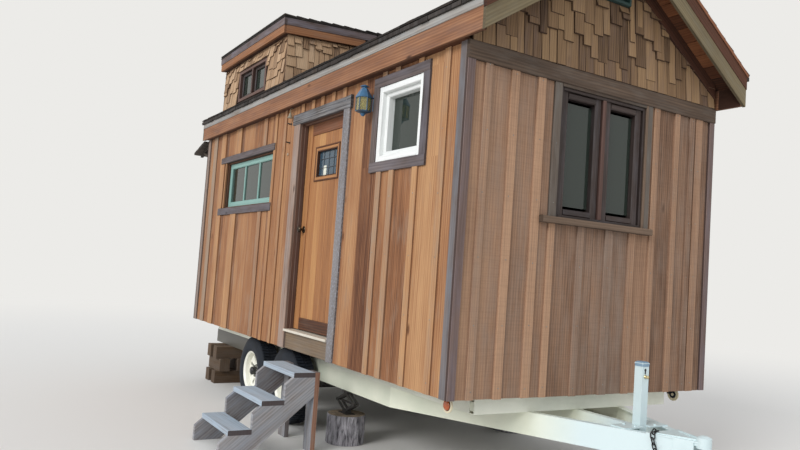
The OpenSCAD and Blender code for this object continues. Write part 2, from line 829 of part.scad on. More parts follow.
module dormer_cheeks() {
    color("#a87c50") on_house()
        for (x = [dormer_x[0], dormer_x[1] - dormer_wall_t]) along_x([x, x + dormer_wall_t]) polygon([
            [dormer_wall_t, roof_under(dormer_wall_t)],
            [dormer_meets - seam, roof_under(dormer_meets - seam)],
            [dormer_meets - seam, dormer_under(dormer_meets) - seam],
            [dormer_wall_t, dormer_under(dormer_wall_t) - seam]
        ]);
}

module dormer_roof() {
    color("#8d5c36") on_house()
        along_x(dormer_slab_x) dormer_roof_outline(0, dormer_fascia_h, dormer_out - fascia_t);
}

// Boards round the dormer's roof: front and both sides, with a prouder upper band
module dormer_fascia() {
    band = dormer_fascia_h * 0.48;
    color("#7c4a30") on_house() {
        for (layer = [[0, 0], [dormer_fascia_h - band, fascia_band_out]])
            along_x(grown(dormer_slab_x, fascia_t + layer[1])) polygon([
                [-dormer_out - layer[1], dormer_under(-dormer_out) + layer[0]],
                [-dormer_out + fascia_t, dormer_under(-dormer_out) + layer[0]],
                [-dormer_out + fascia_t, dormer_under(-dormer_out + fascia_t) + dormer_fascia_h],
                [-dormer_out - layer[1], dormer_under(-dormer_out - layer[1]) + dormer_fascia_h]
            ]);
        for (x = [dormer_slab_x[0] - fascia_t, dormer_slab_x[1]])
            along_x([x, x + fascia_t]) dormer_roof_outline(0, dormer_fascia_h, dormer_out - fascia_t);
    }
}

// Jambs, stops and casing boards of the doorway
module door_frame() {
    x = [-door_at - door_w, -door_at];
    sill_top = floor_t + sill_t;
    head = door_head_z;
    stop = 12;
    stop_y = [leaf_y - door_rail_t - 6 - 30, leaf_y - door_rail_t - 6];
    color("#6b625a") on_house() {
        difference() {
            span(grown(x, jamb_t), [0, wall_t], [sill_top, head + jamb_t]);
            span(x, [-1, wall_t + 1], [sill_top - 1, head]);
        }
        difference() {
            span(x, stop_y, [sill_top, head]);
            span(grown(x, -stop), grown(stop_y, 1), [sill_top - 1, head - stop]);
        }
        span([x[0] - 134, x[0] - 6], [-trim_t, 0], [0, head]);
        span([x[1] + 6, x[1] + 112], [-trim_t, 0], [0, head]);
        span([x[0] - 154, x[1] + 137], [-trim_t - 8, 0], [head, head + 100]);
    }
}

module door_sill() {
    x = [-door_at - door_w, -door_at];
    color("#8b7257") on_house() {
        span(grown(x, jamb_t), [0, skin_t], [0, floor_t]);
        span(x, [-sill_out, wall_t], [floor_t, floor_t + sill_t]);
        span(grown(x, jamb_t), [0, wall_t], [floor_t, floor_t + sill_t]);
    }
}

leaf_x = [-door_at - door_w + door_gap, -door_at - door_gap + 2];
leaf_z = [floor_t + sill_t + 8, door_head_z - door_gap];
hinges_z = [leaf_z[0] + 180, (leaf_z[0] + leaf_z[1]) / 2, leaf_z[1] - 180];
knuckle_r = hinge_pin_r + 2.5;

// Hinge halves on the jamb: a plate, the outer knuckles and the pin
module door_hinges() {
    third = hinge_l / 3;
    color("#2c2a28") on_house() for (z = hinges_z) translate([hinge_x, hinge_y, z]) {
        translate([0, 0, -hinge_l / 2]) cylinder(r = hinge_pin_r, h = hinge_l);
        for (s = [-1, 1]) translate([0, 0, s * third]) {
            cylinder(r = knuckle_r, h = third - 1, center = true);
            span([0, 30], [wall_t - hinge_y, wall_t - hinge_y + 3], [-third / 2 + 1, third / 2 - 1.5]);
        }
    }
}

// Plank door with raised boards round its edge and an opening for its small window
module door_leaf() {
    third = hinge_l / 3;
    light_x = (leaf_x[0] + leaf_x[1]) / 2;
    light = [light_x - door_light[0] / 2, light_x + door_light[0] / 2];
    light_z = [door_light_z, door_light_z + door_light[1]];
    color("#a5622f") on_house() {
        difference() {
            union() {
                span(leaf_x, [leaf_y, leaf_y + door_t], leaf_z);
                ring(leaf_x, [leaf_y - door_rail_t, leaf_y + 1], leaf_z, door_rail_w);
                ring(grown(light, 50), [leaf_y - door_rail_t, leaf_y + 1], grown(light_z, 50), 50);
            }
            span(light, [0, wall_t + 1], light_z);
        }
        for (z = hinges_z) translate([hinge_x, hinge_y, z]) difference() {
            union() {
                cylinder(r = knuckle_r, h = third - 1, center = true);
                span([-45, -knuckle_r + 1], [leaf_y + door_t - hinge_y, leaf_y + door_t - hinge_y + 3],
                     [-third / 2 + 0.5, third / 2 - 0.5]);
                span([-knuckle_r, 0], [leaf_y + door_t - hinge_y, -hinge_pin_r],
                     [-third / 2 + 0.5, third / 2 - 0.5]);
            }
            cylinder(r = hinge_pin_r + run_gap, h = hinge_l, center = true);
        }
    }
}

module door_glass() {
    light_x = (leaf_x[0] + leaf_x[1]) / 2;
    half = door_light[0] / 2 - fit_gap;
    y = leaf_y + door_t / 2;
    color("#7d95a0", 0.5) on_house()
        span([light_x - half, light_x + half], [y - glass_t / 2, y + glass_t / 2],
             grown([door_light_z, door_light_z + door_light[1]], -fit_gap));
}

// Rose and knob on both faces of the door
module door_knob() {
    color("#3a332d") on_house() translate([leaf_x[0] + 66, leaf_y, knob_z]) {
        for (side = [[door_rail_t, 1], [door_t, -1]])
            translate([0, side[1] > 0 ? -side[0] : side[0], 0]) rotate([side[1] * 90, 0, 0]) rotate_extrude()
                polygon([[0, 0], [32, 0], [32, 4], [27, 8], [12, 9], [10, 28], [20, 33], [28, 42], [28, 50],
                         [20, 60], [0, 62]]);
    }
}

// A fixed frame lining the opening, with a sash set back in it
module framed_sash(x, z, frame, sash, y_frame, y_sash) {
    ring(x, y_frame, z, frame);
    ring(grown(x, -frame), y_sash, grown(z, -frame), sash);
}

module pane(x, z, y) {
    span(grown(x, -fit_gap), [y - glass_t / 2, y + glass_t / 2], grown(z, -fit_gap));
}

white_frame = 46;
white_sash = 26;
green_frame = 14;
green_sash = 58;
end_frame = 30;
end_sash = 58;
dormer_frame = 34;

module white_windows() {
    color("white") on_house() both_sides()
        framed_sash(side_x(white_win), win_z(white_win), white_frame, white_sash,
                    [-14, wall_t - 10], [62, 96]);
}

module green_windows() {
    color("#6fa39b") on_house() both_sides()
        framed_sash(side_x(green_win), win_z(green_win), green_frame, green_sash,
                    [10, wall_t - 10], [34, 76]);
}

// Two halves of an opening, either side of its middle post
function halves(r, post) = [[r[0], (r[0] + r[1] - post) / 2], [(r[0] + r[1] + post) / 2, r[1]]];

module double_window(x, z, frame, sash, post, y_frame, y_sash) {
    ring(x, y_frame, z, frame);
    mid = (x[0] + x[1]) / 2;
    span([mid - post / 2, mid + post / 2], y_frame, grown(z, -frame));
    for (half = halves(grown(x, -frame), post)) ring(half, y_sash, grown(z, -frame), sash);
}

module end_windows() {
    color("#3a302c") on_house() both_ends()
        double_window(win_u(end_win), win_z(end_win), end_frame, end_sash, 36, [-12, wall_t - 10], [24, 66]);
}

module dormer_window() {
    color("#3a302c") on_house()
        double_window(dormer_win_x, dormer_win_z, dormer_frame, 34, 30, [-14, dormer_wall_t - 8], [16, 56]);
}

module window_glass() {
    color("#8fa6ad", 0.5) on_house() {
        both_sides() {
            pane(grown(side_x(white_win), -white_frame - white_sash),
                 grown(win_z(white_win), -white_frame - white_sash), 79);
            pane(grown(side_x(green_win), -green_frame - green_sash),
                 grown(win_z(green_win), -green_frame - green_sash), 55);
        }
        both_ends() for (half = halves(grown(win_u(end_win), -end_frame), 36))
            pane(grown(half, -end_sash), grown(win_z(end_win), -end_frame - end_sash), 45);
        for (half = halves(grown(dormer_win_x, -dormer_frame), 30))
            pane(grown(half, -34), grown(dormer_win_z, -dormer_frame - 34), 36);
    }
}

// Casing boards round the windows: a mitred-looking ring on the white one, a wide head and sill
// board on the green one, side boards and a projecting sill on the end windows
module window_casings() {
    sill_h = 37;
    color("#5b514a") on_house() {
        both_sides() {
            ring(grown(side_x(white_win), white_casing_w), [-trim_t, 0],
                 grown(win_z(white_win), white_casing_w), white_casing_w);
            x = side_x(green_win);
            span([x[0] - 170, x[1] + 50], [-trim_t - 6, 0], [win_z(green_win)[1], win_z(green_win)[1] + 70]);
            span([x[0] - 165, x[1] + 46], [-trim_t - 4, 0], [win_z(green_win)[0] - 78, win_z(green_win)[0]]);
            for (e = [[x[0] - 24, x[0]], [x[1], x[1] + 24]]) span(e, [-trim_t + 4, 0], win_z(green_win));
        }
        both_ends() {
            u = win_u(end_win);
            z = win_z(end_win);
            for (e = [[u[0] - end_casing_w, u[0]], [u[1], u[1] + end_casing_w]])
                span(e, [-trim_t, 0], [z[0], band_z]);
            span(u, [-trim_t, 0], [z[1], band_z]);
            span([u[0] - 150, u[1] + 85], [-60, 0], [z[0] - sill_h, z[0]]);
        }
    }
}

// Louvred vent: a frame and sloping blades
module gable_vents() {
    color("#4d5f5c") on_house() both_ends() {
        ring(vent_u, [-trim_t - 10, wall_t - 40], vent_z, 18);
        for (i = [0 : 3]) translate([0, 10, vent_z[0] + 34 + 28 * i]) rotate([-35, 0, 0])
            span(grown(vent_u, -17), [-14, 22], [-3, 3]);
    }
}

// Six-sided wall lantern: back plate and arm, knob, tray, corner posts round the glass, tall roof and cap
module wall_lantern() {
    tray = lantern_z + 32;
    eave = tray + 108;
    crown = eave + 76;
    color("#3f6f8f") on_house() {
        span([-lantern_at - 20, -lantern_at + 20], [-8, 0], [eave - 85, eave + 45]);
        span([-lantern_at - 7, -lantern_at + 7], [-lantern_out, -8], [eave + 6, eave + 18]);
        translate([-lantern_at, -lantern_out, 0]) {
            translate([0, 0, lantern_z]) cylinder(r1 = 12, r2 = 22, h = 18);
            translate([0, 0, lantern_z + 17]) cylinder(r1 = 17, r2 = 44, h = tray - lantern_z - 16, $fn = 6);
            translate([0, 0, tray]) cylinder(r = lantern_r, h = 10, $fn = 6);
            translate([0, 0, tray + 9]) cylinder(r = lantern_r - 9, h = eave - tray - 8, $fn = 6);
            for (i = [0 : 5]) rotate([0, 0, 60 * i]) translate([lantern_r - 11, -4, tray + 9])
                cube([9, 8, eave - tray - 8]);
            translate([0, 0, eave]) cylinder(r1 = lantern_r + 6, r2 = 27, h = crown - eave, $fn = 6);
            translate([0, 0, crown - 1]) cylinder(r = 18, h = 11);
            translate([0, 0, crown + 9]) cylinder(r1 = 34, r2 = 9, h = 18);
        }
    }
}

// Stringers cut to seats for the treads, each against a leg that rises to the top tread
module stringer() {
    clip = step_clip;
    back = -steps_back - tread_gap;
    front = function (i) back - tread_depth - (treads - 1 - i) * tread_run;
    seat = function (i) (i + 1) * tread_rise - tread_t;
    foot = 210;
    polygon(concat(
        [for (i = [0 : treads - 1]) each [
            [front(i) - clip, i == 0 ? 0 : seat(i - 1)], [front(i) - clip, seat(i) - 52], [front(i), seat(i)]
        ]],
        [[back, seat(treads - 1)], [back, seat(treads - 1) - 150], [front(0) - clip + foot, 0]]
    ));
}

module step_stringers() {
    color("#8d8a86") on_ground() {
        for (x = [-steps_at - tread_t, -steps_at - steps_w])
            translate([x, 0, 0]) rotate([90, 0, 90]) linear_extrude(tread_t) stringer();
        for (x = [-steps_at - leg_w, -steps_at - steps_w])
            span([x, x + leg_w], [-steps_back - tread_gap, -steps_back], [0, treads * tread_rise]);
    }
}

module step_treads() {
    color("#96938f") on_ground() for (i = [0 : treads - 1]) {
        y = -steps_back - tread_gap - tread_depth - (treads - 1 - i) * tread_run;
        top = (i + 1) * tread_rise;
        span([-steps_at - steps_w, -steps_at], [y, y + tread_depth], [top - tread_t, top]);
    }
}

// A flat bar with round eyes between two points
module bar(a, b, width) {
    d = b - a;
    translate(a) circle(width * 0.7);
    translate(b) circle(width * 0.7);
    translate(a) rotate(atan2(d[1], d[0])) translate([0, -width / 2]) square([norm(d), width]);
}

// Scissor jack between a log stump and the rail: saddle, four arms, screw and base
module scissor_jack() {
    reach = 150;
    low = [0, stump_h + 22];
    high = [0, rail_z - 24];
    side_z = (low[1] + high[1]) / 2;
    y = rail_in + rail_w / 2;
    for (dy = [-24, 16]) along_y([y + dy, y + dy + 8]) {
        for (s = [-1, 1]) {
            bar(low, [s * reach, side_z], 20);
            bar(high, [s * reach, side_z], 20);
        }
    }
    for (p = [low, high, [-reach, side_z], [reach, side_z]])
        translate([p[0], y - 28, p[1]]) rotate([-90, 0, 0]) cylinder(r = 9, h = 56);
    translate([-reach - 40, y, side_z]) rotate([0, 90, 0]) cylinder(r = 8, h = 2 * reach + 70);
    span([-75, 75], [y - 40, y + 40], [stump_h, stump_h + 6]);
    span([-32, 32], [y - 27, y + 27], [stump_h + 5, stump_h + 30]);
    span([-45, 45], [y - 34, y + 34], [rail_z - 10, rail_z]);
    span([-30, 30], [y - 27, y + 27], [rail_z - 32, rail_z - 9]);
}

module scissor_jacks() {
    color("#26272a") on_ground() both_sides() translate([-prop_at, 0, 0]) scissor_jack();
}

module log_stumps() {
    color("#7e7468") on_ground() both_sides()
        translate([-prop_at, rail_in + rail_w / 2, 0]) cylinder(d = stump_d, h = stump_h);
}

// Crossed timbers stacked from the ground to the rails
module timber_cribs() {
    layers = 3;
    t = rail_z / layers;
    l = 420;
    x = -body_l + crib_in;
    y = rail_in + rail_w / 2;
    color("#7a5b40") on_ground() both_sides() for (i = [0 : layers - 1], s = [-1, 1]) {
        z = [max(0, i * t - 2), (i + 1) * t];
        if (i % 2 == 0)
            span([x + s * 110 - 60, x + s * 110 + 60], [y - l / 2, y + l / 2], z);
        else
            span([x - l / 2, x + l / 2], [y + s * 110 - 60, y + s * 110 + 60], z);
    }
}

// Round side lamps hung on small brackets under the floor's front corners
module marker_lamps() {
    plate = 4;
    housing = 12;
    color("#c9772f") on_house() both_sides() translate([-lamp_at, lamp_in, 0]) {
        span([-22, 22], [0, plate], [-lamp_drop, 0]);
        translate([0, plate, -lamp_drop]) rotate([90, 0, 0]) cylinder(r = lamp_r, h = housing);
        translate([0, plate - housing, -lamp_drop]) rotate([90, 0, 0])
            cylinder(r1 = lamp_r - 9, r2 = lamp_r - 17, h = 16);
    }
}

// Pent hood over the rear wall: a sloping roof on triangular brackets
module rear_hood() {
    top = 2237;
    fall = 110;
    t = 34;
    brackets = 4;
    bracket_t = 40;
    bracket_h = 240;
    root = -trim_t - 6;
    color("#4a4038") on_house() translate([-body_l, 0, 0]) {
        along_y([-hood_side, body_w + hood_side]) polygon([
            [root, top - t], [root, top], [-hood_out, top - fall], [-hood_out, top - fall - t]
        ]);
        for (i = [0 : brackets - 1]) translate([0, i * (body_w - bracket_t) / (brackets - 1), 0])
            along_y([0, bracket_t]) polygon([
                [root, top - t + 2], [-hood_out + 20, top - fall - t + 8], [root, top - bracket_h]
            ]);
    }
}

main_rails();
centre_beam();
cross_members();
deck_frame();
coupler();
jack_post();
jack_leg();
axles();
leaf_springs();
spring_hangers();
front_near_tyre();
rear_near_tyre();
front_far_tyre();
rear_far_tyre();
front_near_rim();
rear_near_rim();
front_far_rim();
rear_far_rim();
floor();
near_wall_front();
near_wall_rear();
near_wall_over_door();
far_wall();
front_gable_wall();
rear_gable_wall();
near_roof();
far_roof();
near_shingles();
far_shingles();
dormer_shingles();
eave_fascias();
rake_boards();
corner_boards();
band_boards();
dormer_front();
dormer_cheeks();
dormer_roof();
dormer_fascia();
door_frame();
door_sill();
door_hinges();
door_leaf();
door_glass();
door_knob();
white_windows();
green_windows();
end_windows();
dormer_window();
window_glass();
window_casings();
gable_vents();
wall_lantern();
step_stringers();
step_treads();
scissor_jacks();
log_stumps();
timber_cribs();
marker_lamps();
rear_hood();
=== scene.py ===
import math
import random

import bpy
import numpy as np
from mathutils import Matrix, Vector


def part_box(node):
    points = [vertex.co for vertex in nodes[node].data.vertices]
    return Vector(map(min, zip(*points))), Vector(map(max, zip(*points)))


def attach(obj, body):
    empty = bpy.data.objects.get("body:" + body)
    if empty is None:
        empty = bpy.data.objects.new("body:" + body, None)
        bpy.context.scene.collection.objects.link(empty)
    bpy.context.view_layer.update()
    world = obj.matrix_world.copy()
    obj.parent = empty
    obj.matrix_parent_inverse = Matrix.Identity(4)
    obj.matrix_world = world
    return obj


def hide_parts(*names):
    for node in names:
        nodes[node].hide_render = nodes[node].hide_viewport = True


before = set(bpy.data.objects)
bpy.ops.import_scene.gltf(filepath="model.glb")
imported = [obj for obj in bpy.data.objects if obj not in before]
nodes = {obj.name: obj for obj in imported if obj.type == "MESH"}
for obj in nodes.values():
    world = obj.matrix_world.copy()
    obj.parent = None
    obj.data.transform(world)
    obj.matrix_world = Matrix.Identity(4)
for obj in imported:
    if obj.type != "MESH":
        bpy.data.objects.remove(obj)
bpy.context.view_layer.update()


def placed(name, data):
    """An object that holds a mesh, camera or lamp, linked to the scene."""
    thing = bpy.data.objects.new(name, data)
    bpy.context.scene.collection.objects.link(thing)
    return thing


view_right = Vector((0.5276, 0.8467, 0.0698)).normalized()
view_up = Vector((0.0177, -0.0930, 0.9956)).normalized()
view_back = view_right.cross(view_up).normalized()
view_from = Vector((5.9935, -3.4560, 1.4710))
camera = placed("camera", bpy.data.cameras.new("camera"))
camera.data.lens = 32.12
camera.data.sensor_width = 36
camera.matrix_world = Matrix([[view_right[i], view_up[i], view_back[i], view_from[i]] for i in range(3)]
                             + [[0, 0, 0, 1]])
bpy.context.scene.camera = camera

# Trailer frame
# Rails, deck channels and tongue of rolled steel, welded and sprayed with cream enamel that has chalked,
# picked up road dirt and let a little rust through. Distances are in mm from the house's corner.
mm, per_metre = 0.001, 1000
corner = Vector((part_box("front_gable_wall")[1].x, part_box("near_wall_front")[0].y,
                 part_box("near_wall_front")[0].z))
ground = -corner.z * per_metre


def to_row(points):
    """House distances in mm as places in the shared frame, in metres."""
    return np.array(points, float) * mm + np.array(corner)


def colour(code):
    """An sRGB hex colour as the linear colour that a socket takes."""
    parts = [int(code[i:i + 2], 16) / 255 for i in (1, 3, 5)]
    return [c / 12.92 if c <= 0.04045 else ((c + 0.055) / 1.055) ** 2.4 for c in parts] + [1.0]


def feed(node, feeds):
    """Sets a node's inputs, by name or number: to a value, a hex colour, or the node or output they read."""
    for key, value in feeds.items():
        socket = node.inputs[key] if isinstance(key, int) else next(
            s for s in node.inputs if s.enabled and s.name == key)
        if isinstance(value, bpy.types.Node):
            value = next(s for s in value.outputs if s.enabled)
        if isinstance(value, bpy.types.NodeSocket):
            node.id_data.links.new(value, socket)
        else:
            socket.default_value = colour(value) if isinstance(value, str) and value[:1] == "#" else value


def add(tree, kind, feeds=None, stops=(), **settings):
    """Adds a node with its settings, what feeds its inputs, and the stops of its colour ramp."""
    whole = kind.startswith(("Geometry", "Function", "NodeGroup"))
    node = tree.nodes.new(kind if whole else "ShaderNode" + kind)
    for name, value in settings.items():
        setattr(node, name, value)
    feed(node, feeds or {})
    for i, (place, shade) in enumerate(stops):
        ramp = node.color_ramp.elements
        stop = ramp[i] if i < len(ramp) else ramp.new(place)
        stop.position = place
        stop.color = colour(shade) if isinstance(shade, str) else (shade, shade, shade, 1)
    return node


def new_material(name):
    """A material with its node tree and its shader."""
    material = bpy.data.materials.new(name)
    material.use_nodes = True
    return material, material.node_tree, material.node_tree.nodes["Principled BSDF"]


def painted_steel(name, paint, faded, rust, rust_share, gloss, metal=0.0):
    """Enamel on steel: a slow fade, fine speckle of dirt, rust spots and the faint skin of sprayed paint. A
    noise scale is the number of its features in a metre."""
    material, tree, shader = new_material(name)
    place = add(tree, "TexCoord").outputs["Object"]
    drift = add(tree, "TexNoise", {"Vector": place, "Scale": 3.0, "Detail": 4.0, "Roughness": 0.6})
    fade = add(tree, "ValToRGB", {"Fac": drift}, [(0.35, paint), (0.7, faded)])
    speck = add(tree, "TexNoise", {"Vector": place, "Scale": 38.0, "Detail": 6.0, "Roughness": 0.7})
    spots = add(tree, "ValToRGB", {"Fac": speck}, [(0.72 - rust_share, 0.0), (0.8 - rust_share, 1.0)])
    skin = add(tree, "Mix", {"Factor": spots, "A": fade, "B": rust}, data_type="RGBA")
    rough = add(tree, "MapRange", {"Value": spots, "To Min": gloss, "To Max": 0.85})
    peel = add(tree, "TexNoise", {"Vector": place, "Scale": 420.0, "Detail": 2.0})
    height = add(tree, "Math", {0: spots, 1: 0.6, 2: peel}, operation="MULTIPLY_ADD")
    bump = add(tree, "Bump", {"Height": height, "Strength": 0.25, "Distance": 0.0006})
    feed(shader, {"Base Color": skin, "Roughness": rough, "Normal": bump, "Metallic": metal})
    return material


def finish_nodes(material, *names):
    """Gives carried-over CAD solids their finish."""
    for name in names:
        for slot in nodes[name].material_slots:
            slot.material = material


# Cream enamel: reads as a pale yellowish green in shade, a little dirtier in soft patches
finish_nodes(painted_steel("chalked_cream_enamel", "#f0f1e2", "#dfe1d0", "#7c6248", 0.02, 0.42),
             "cross_members", "deck_frame")
# The tongue and jack were sprayed again, whiter and bluer
white_enamel = painted_steel("white_enamel", "#d6e6e8", "#c6d9dc", "#8a8276", 0.0, 0.35)
finish_nodes(white_enamel, "coupler", "jack_post")
# The rails run from old cream under the house into new white ahead of it
blended_enamel = painted_steel("cream_to_white_enamel", "#e9ebd8", "#dadfcb", "#7c6248", 0.02, 0.4)
finish_nodes(blended_enamel, "main_rails", "centre_beam")
tree = blended_enamel.node_tree
skin_colour = tree.nodes["Principled BSDF"].inputs["Base Color"]
along = add(tree, "SeparateXYZ", {"Vector": add(tree, "TexCoord").outputs["Object"]}).outputs[0]
ahead = add(tree, "MapRange", {"Value": along, "From Min": corner.x - 0.1, "From Max": corner.x + 0.25})
blend = add(tree, "Mix", {"Factor": ahead, "A": skin_colour.links[0].from_socket, "B": "#d6e6e8"},
            data_type="RGBA")
# Behind the wheels the rail is painted brown-black: painted shade, for the shade it lies in under the house
painted_shade_behind_wheels = add(tree, "MapRange", {"Value": along, "From Min": -1.25, "From Max": -1.65, "To Max": 0.93})
darkened = add(tree, "Mix", {"Factor": painted_shade_behind_wheels, "A": blend, "B": "#332c27"}, data_type="RGBA")
feed(tree.nodes["Principled BSDF"], {"Base Color": darkened})


def rides(piece, body="house", replaces=()):
    """Says which body carries a piece, and hides the CAD solids that it stands for."""
    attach(piece, body)
    if replaces:
        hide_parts(*replaces)


class Pieces:
    """Vertices and faces gathered for one mesh, with a grain map, a tone, greyness and chance per board, and
    a mark on the narrow faces that darkens them, for dirt in the joints and painted shade at the boards'
    edges. Boards thicken towards out."""

    def __init__(self, out=None):
        self.co, self.faces, self.maps, self.looks, self.joints = [], [], [], [], []
        self.out = out

    def take(self, co, faces, maps=None, look=(0.5, 0.3, 0.5), joints=None):
        first = len(self.co)
        self.co += co
        self.looks += [look] * len(co)
        self.faces += [[first + i for i in face] for face in faces]
        self.maps += [pair for face in maps or [[(0.0, 0.0)] * len(face) for face in faces] for pair in face]
        self.joints += joints or [0.0] * len(faces)

    def build(self, name, material, body="house", replaces=(), slot=None, smooth=False):
        mesh = bpy.data.meshes.new(name)
        mesh.from_pydata(to_row(self.co).tolist(), [], self.faces)
        mesh.uv_layers.new(name="grain").data.foreach_set("uv", np.array(self.maps, np.float32).ravel())
        looks = np.ones((len(self.co), 4), np.float32)
        looks[:, :3] = self.looks
        mesh.attributes.new("board", "FLOAT_COLOR", "POINT").data.foreach_set("color", looks.ravel())
        mesh.attributes.new("dirt_and_shade_mark", "FLOAT", "FACE").data.foreach_set("value", self.joints)
        mesh.materials.append(material)
        if smooth:
            mesh.shade_smooth()
        mesh.validate()
        rides(placed(name, mesh), body, replaces)


def tube(rows, steps, closed=False):
    """Faces between rows of points that each go once round; closed joins the last row to the first."""
    return [[i * steps + k, i * steps + (k + 1) % steps, (i + 1) % rows * steps + (k + 1) % steps,
             (i + 1) % rows * steps + k] for i in range(rows if closed else rows - 1) for k in range(steps)]


def caps(rows, steps):
    """Faces that close such a tube at its first row and its last."""
    return [list(range(steps - 1, -1, -1)), list(range((rows - 1) * steps, rows * steps))]


def turned(pieces, middle, axis, outline, steps=32, start=0.0, ring=False):
    """A turned shape: outline is (distance along axis, radius) from end to end, or round a ring's section."""
    axis = Vector(axis).normalized()
    side = axis.orthogonal().normalized()
    other = axis.cross(side)
    rows, least = len(outline), 0.01
    turns = [2 * math.pi * k / steps for k in range(steps)]
    co = [tuple(Vector(middle) + axis * along + (side * math.cos(start + a) + other * math.sin(start + a))
                * max(radius, least)) for along, radius in outline for a in turns]
    maps = [[(outline[i][0] * mm, k / steps), (outline[i][0] * mm, (k + 1) / steps),
             (outline[(i + 1) % rows][0] * mm, (k + 1) / steps), (outline[(i + 1) % rows][0] * mm, k / steps)]
            for i in range(rows if ring else rows - 1) for k in range(steps)]
    if not ring:
        flat = [(math.cos(a) * 0.05, math.sin(a) * 0.05) for a in turns]
        maps += [flat[::-1], flat]
    pieces.take(co, tube(rows, steps, ring) + ([] if ring else caps(rows, steps)), maps)


# Wheels
# Rubber tyres with moulded tread on slotted steel rims sprayed cream, held by hex nuts, with black
# pressed caps over the bearings. The rims are the CAD solids; the tyres are made again with their tread.
low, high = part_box("front_near_tyre")
tyre_r, tyre_half = (high.z - low.z) * per_metre / 2, (high.y - low.y) * per_metre / 2
# Worn black rubber: blue-black, with grey dust in patches, dull
rubber, tree, shader = new_material("tyre_rubber")
place = add(tree, "TexCoord").outputs["Object"]
dust = add(tree, "TexNoise", {"Vector": place, "Scale": 9.0, "Detail": 8.0, "Roughness": 0.7})
shade = add(tree, "ValToRGB", {"Fac": dust}, [(0.35, "#0a1018"), (0.62, "#131c28"), (0.8, "#25303f")])
grit = add(tree, "TexNoise", {"Vector": place, "Scale": 500.0, "Detail": 3.0})
bump = add(tree, "Bump", {"Height": grit, "Strength": 0.3, "Distance": 0.0005})
feed(shader, {"Base Color": shade, "Roughness": 0.78, "Normal": bump})
rim_enamel = painted_steel("cream_rim_enamel", "#f4f3e8", "#e4e4d6", "#7d5c40", 0.05, 0.38)
black_enamel = painted_steel("black_cap_enamel", "#1d1d1f", "#2b2b2d", "#4a4038", 0.0, 0.3)
bright_steel = painted_steel("zinc_plated_steel", "#9a9a96", "#7e7d79", "#6d5540", 0.03, 0.35, 1.0)


def new_group(name, **inputs):
    """A Geometry Nodes tree with named inputs: the tree, its inputs' identifiers, and what they give."""
    tree = bpy.data.node_groups.new(name, "GeometryNodeTree")
    ports = {label: tree.interface.new_socket(label, in_out="INPUT",
                                              socket_type="NodeSocket" + kind).identifier
             for label, kind in inputs.items()}
    tree.interface.new_socket("Geometry", in_out="OUTPUT", socket_type="NodeSocketGeometry")
    return tree, ports, add(tree, "NodeGroupInput").outputs


def end_group(tree, copies, finish):
    """Ends a tree with copies made real, in their material."""
    real = add(tree, "GeometryNodeRealizeInstances", {"Geometry": copies})
    coated = add(tree, "GeometryNodeSetMaterial", {"Geometry": real, "Material": finish})
    add(tree, "NodeGroupOutput", {0: coated})


def grown(name, mesh, tree, ports, **values):
    """Runs a node tree on a mesh and leaves the result as a plain mesh."""
    piece = placed(name, mesh)
    grower = piece.modifiers.new("grower", "NODES")
    grower.node_group = tree
    for label, value in values.items():
        grower[ports[label]] = value
    depsgraph = bpy.context.evaluated_depsgraph_get()
    piece.data = bpy.data.meshes.new_from_object(piece.evaluated_get(depsgraph),
                                                 preserve_all_data_layers=True, depsgraph=depsgraph)
    piece.modifiers.clear()
    bpy.data.meshes.remove(mesh)
    return piece


def template(name, pieces):
    """A small shape at the origin, in metres, that a node tree copies."""
    mesh = bpy.data.meshes.new(name)
    mesh.from_pydata((np.array(pieces.co) * mm).tolist(), [], pieces.faces)
    mesh.attributes.new("dirt_and_shade_mark", "FLOAT", "FACE").data.foreach_set("value", pieces.joints)
    return placed(name, mesh)


def prism(pieces, points, low, high):
    """A flat outline in X and Y, counter-clockwise, carried from low to high along Z."""
    pieces.take([(x, y, z) for z in (low, high) for x, y in points],
                tube(2, len(points)) + caps(2, len(points)))


def polygon(sides, radius):
    """The corners of a regular polygon round the origin."""
    return [(radius * math.cos(2 * math.pi * k / sides), radius * math.sin(2 * math.pi * k / sides))
            for k in range(sides)]


# Copies of a shape set round a circle, each turned to face outwards
ring_tree, ring_ports, given = new_group("set_round_a_circle", Shape="Object", Count="Int", Radius="Float",
                                         Turn="Float", Finish="Material")
ring = add(ring_tree, "GeometryNodeMeshCircle", {"Vertices": given["Count"], "Radius": given["Radius"]})
shape = add(ring_tree, "GeometryNodeObjectInfo", {"Object": given["Shape"]})
index = add(ring_tree, "GeometryNodeInputIndex")
part = add(ring_tree, "Math", {0: index, 1: given["Count"]}, operation="DIVIDE")
angle = add(ring_tree, "Math", {0: part, 1: 2 * math.pi}, operation="MULTIPLY")
turn = add(ring_tree, "CombineXYZ", {"Z": angle})
copies = add(ring_tree, "GeometryNodeInstanceOnPoints", {
    "Points": ring, "Instance": shape.outputs["Geometry"], "Rotation": turn})
twist = add(ring_tree, "CombineXYZ", {"Z": given["Turn"]})
whole = add(ring_tree, "GeometryNodeTransform", {"Geometry": copies, "Rotation": twist})
end_group(ring_tree, whole, given["Finish"])

# One tread block: a slanted bar over half the tread, with its foot sunk in the carcass
tread_count, tread_sunk, tread_proud, tread_inset = 64, 6, 7.2, 8.2
block = Pieces()
for side in (-1, 1):
    bar = [(-11, side * 6), (11, side * 6), (19, side * 74), (-3, side * 74)]
    prism(block, bar[::side], -tread_sunk, tread_proud)
tread_block = template("tread_block", block)
# Laid on the ring: its height points outwards, its length lies across the tread
tread_block.data.transform(Matrix(((0, 0, 1, 0), (1, 0, 0, 0), (0, 1, 0, 0), (0, 0, 0, 1))))
nut_shape = Pieces()
prism(nut_shape, polygon(6, 12.5), 0, 17)
prism(nut_shape, polygon(8, 7), 16, 24)
wheel_nut = template("wheel_nut", nut_shape)
nut_circle, nut_seat = 0.057, 0.021

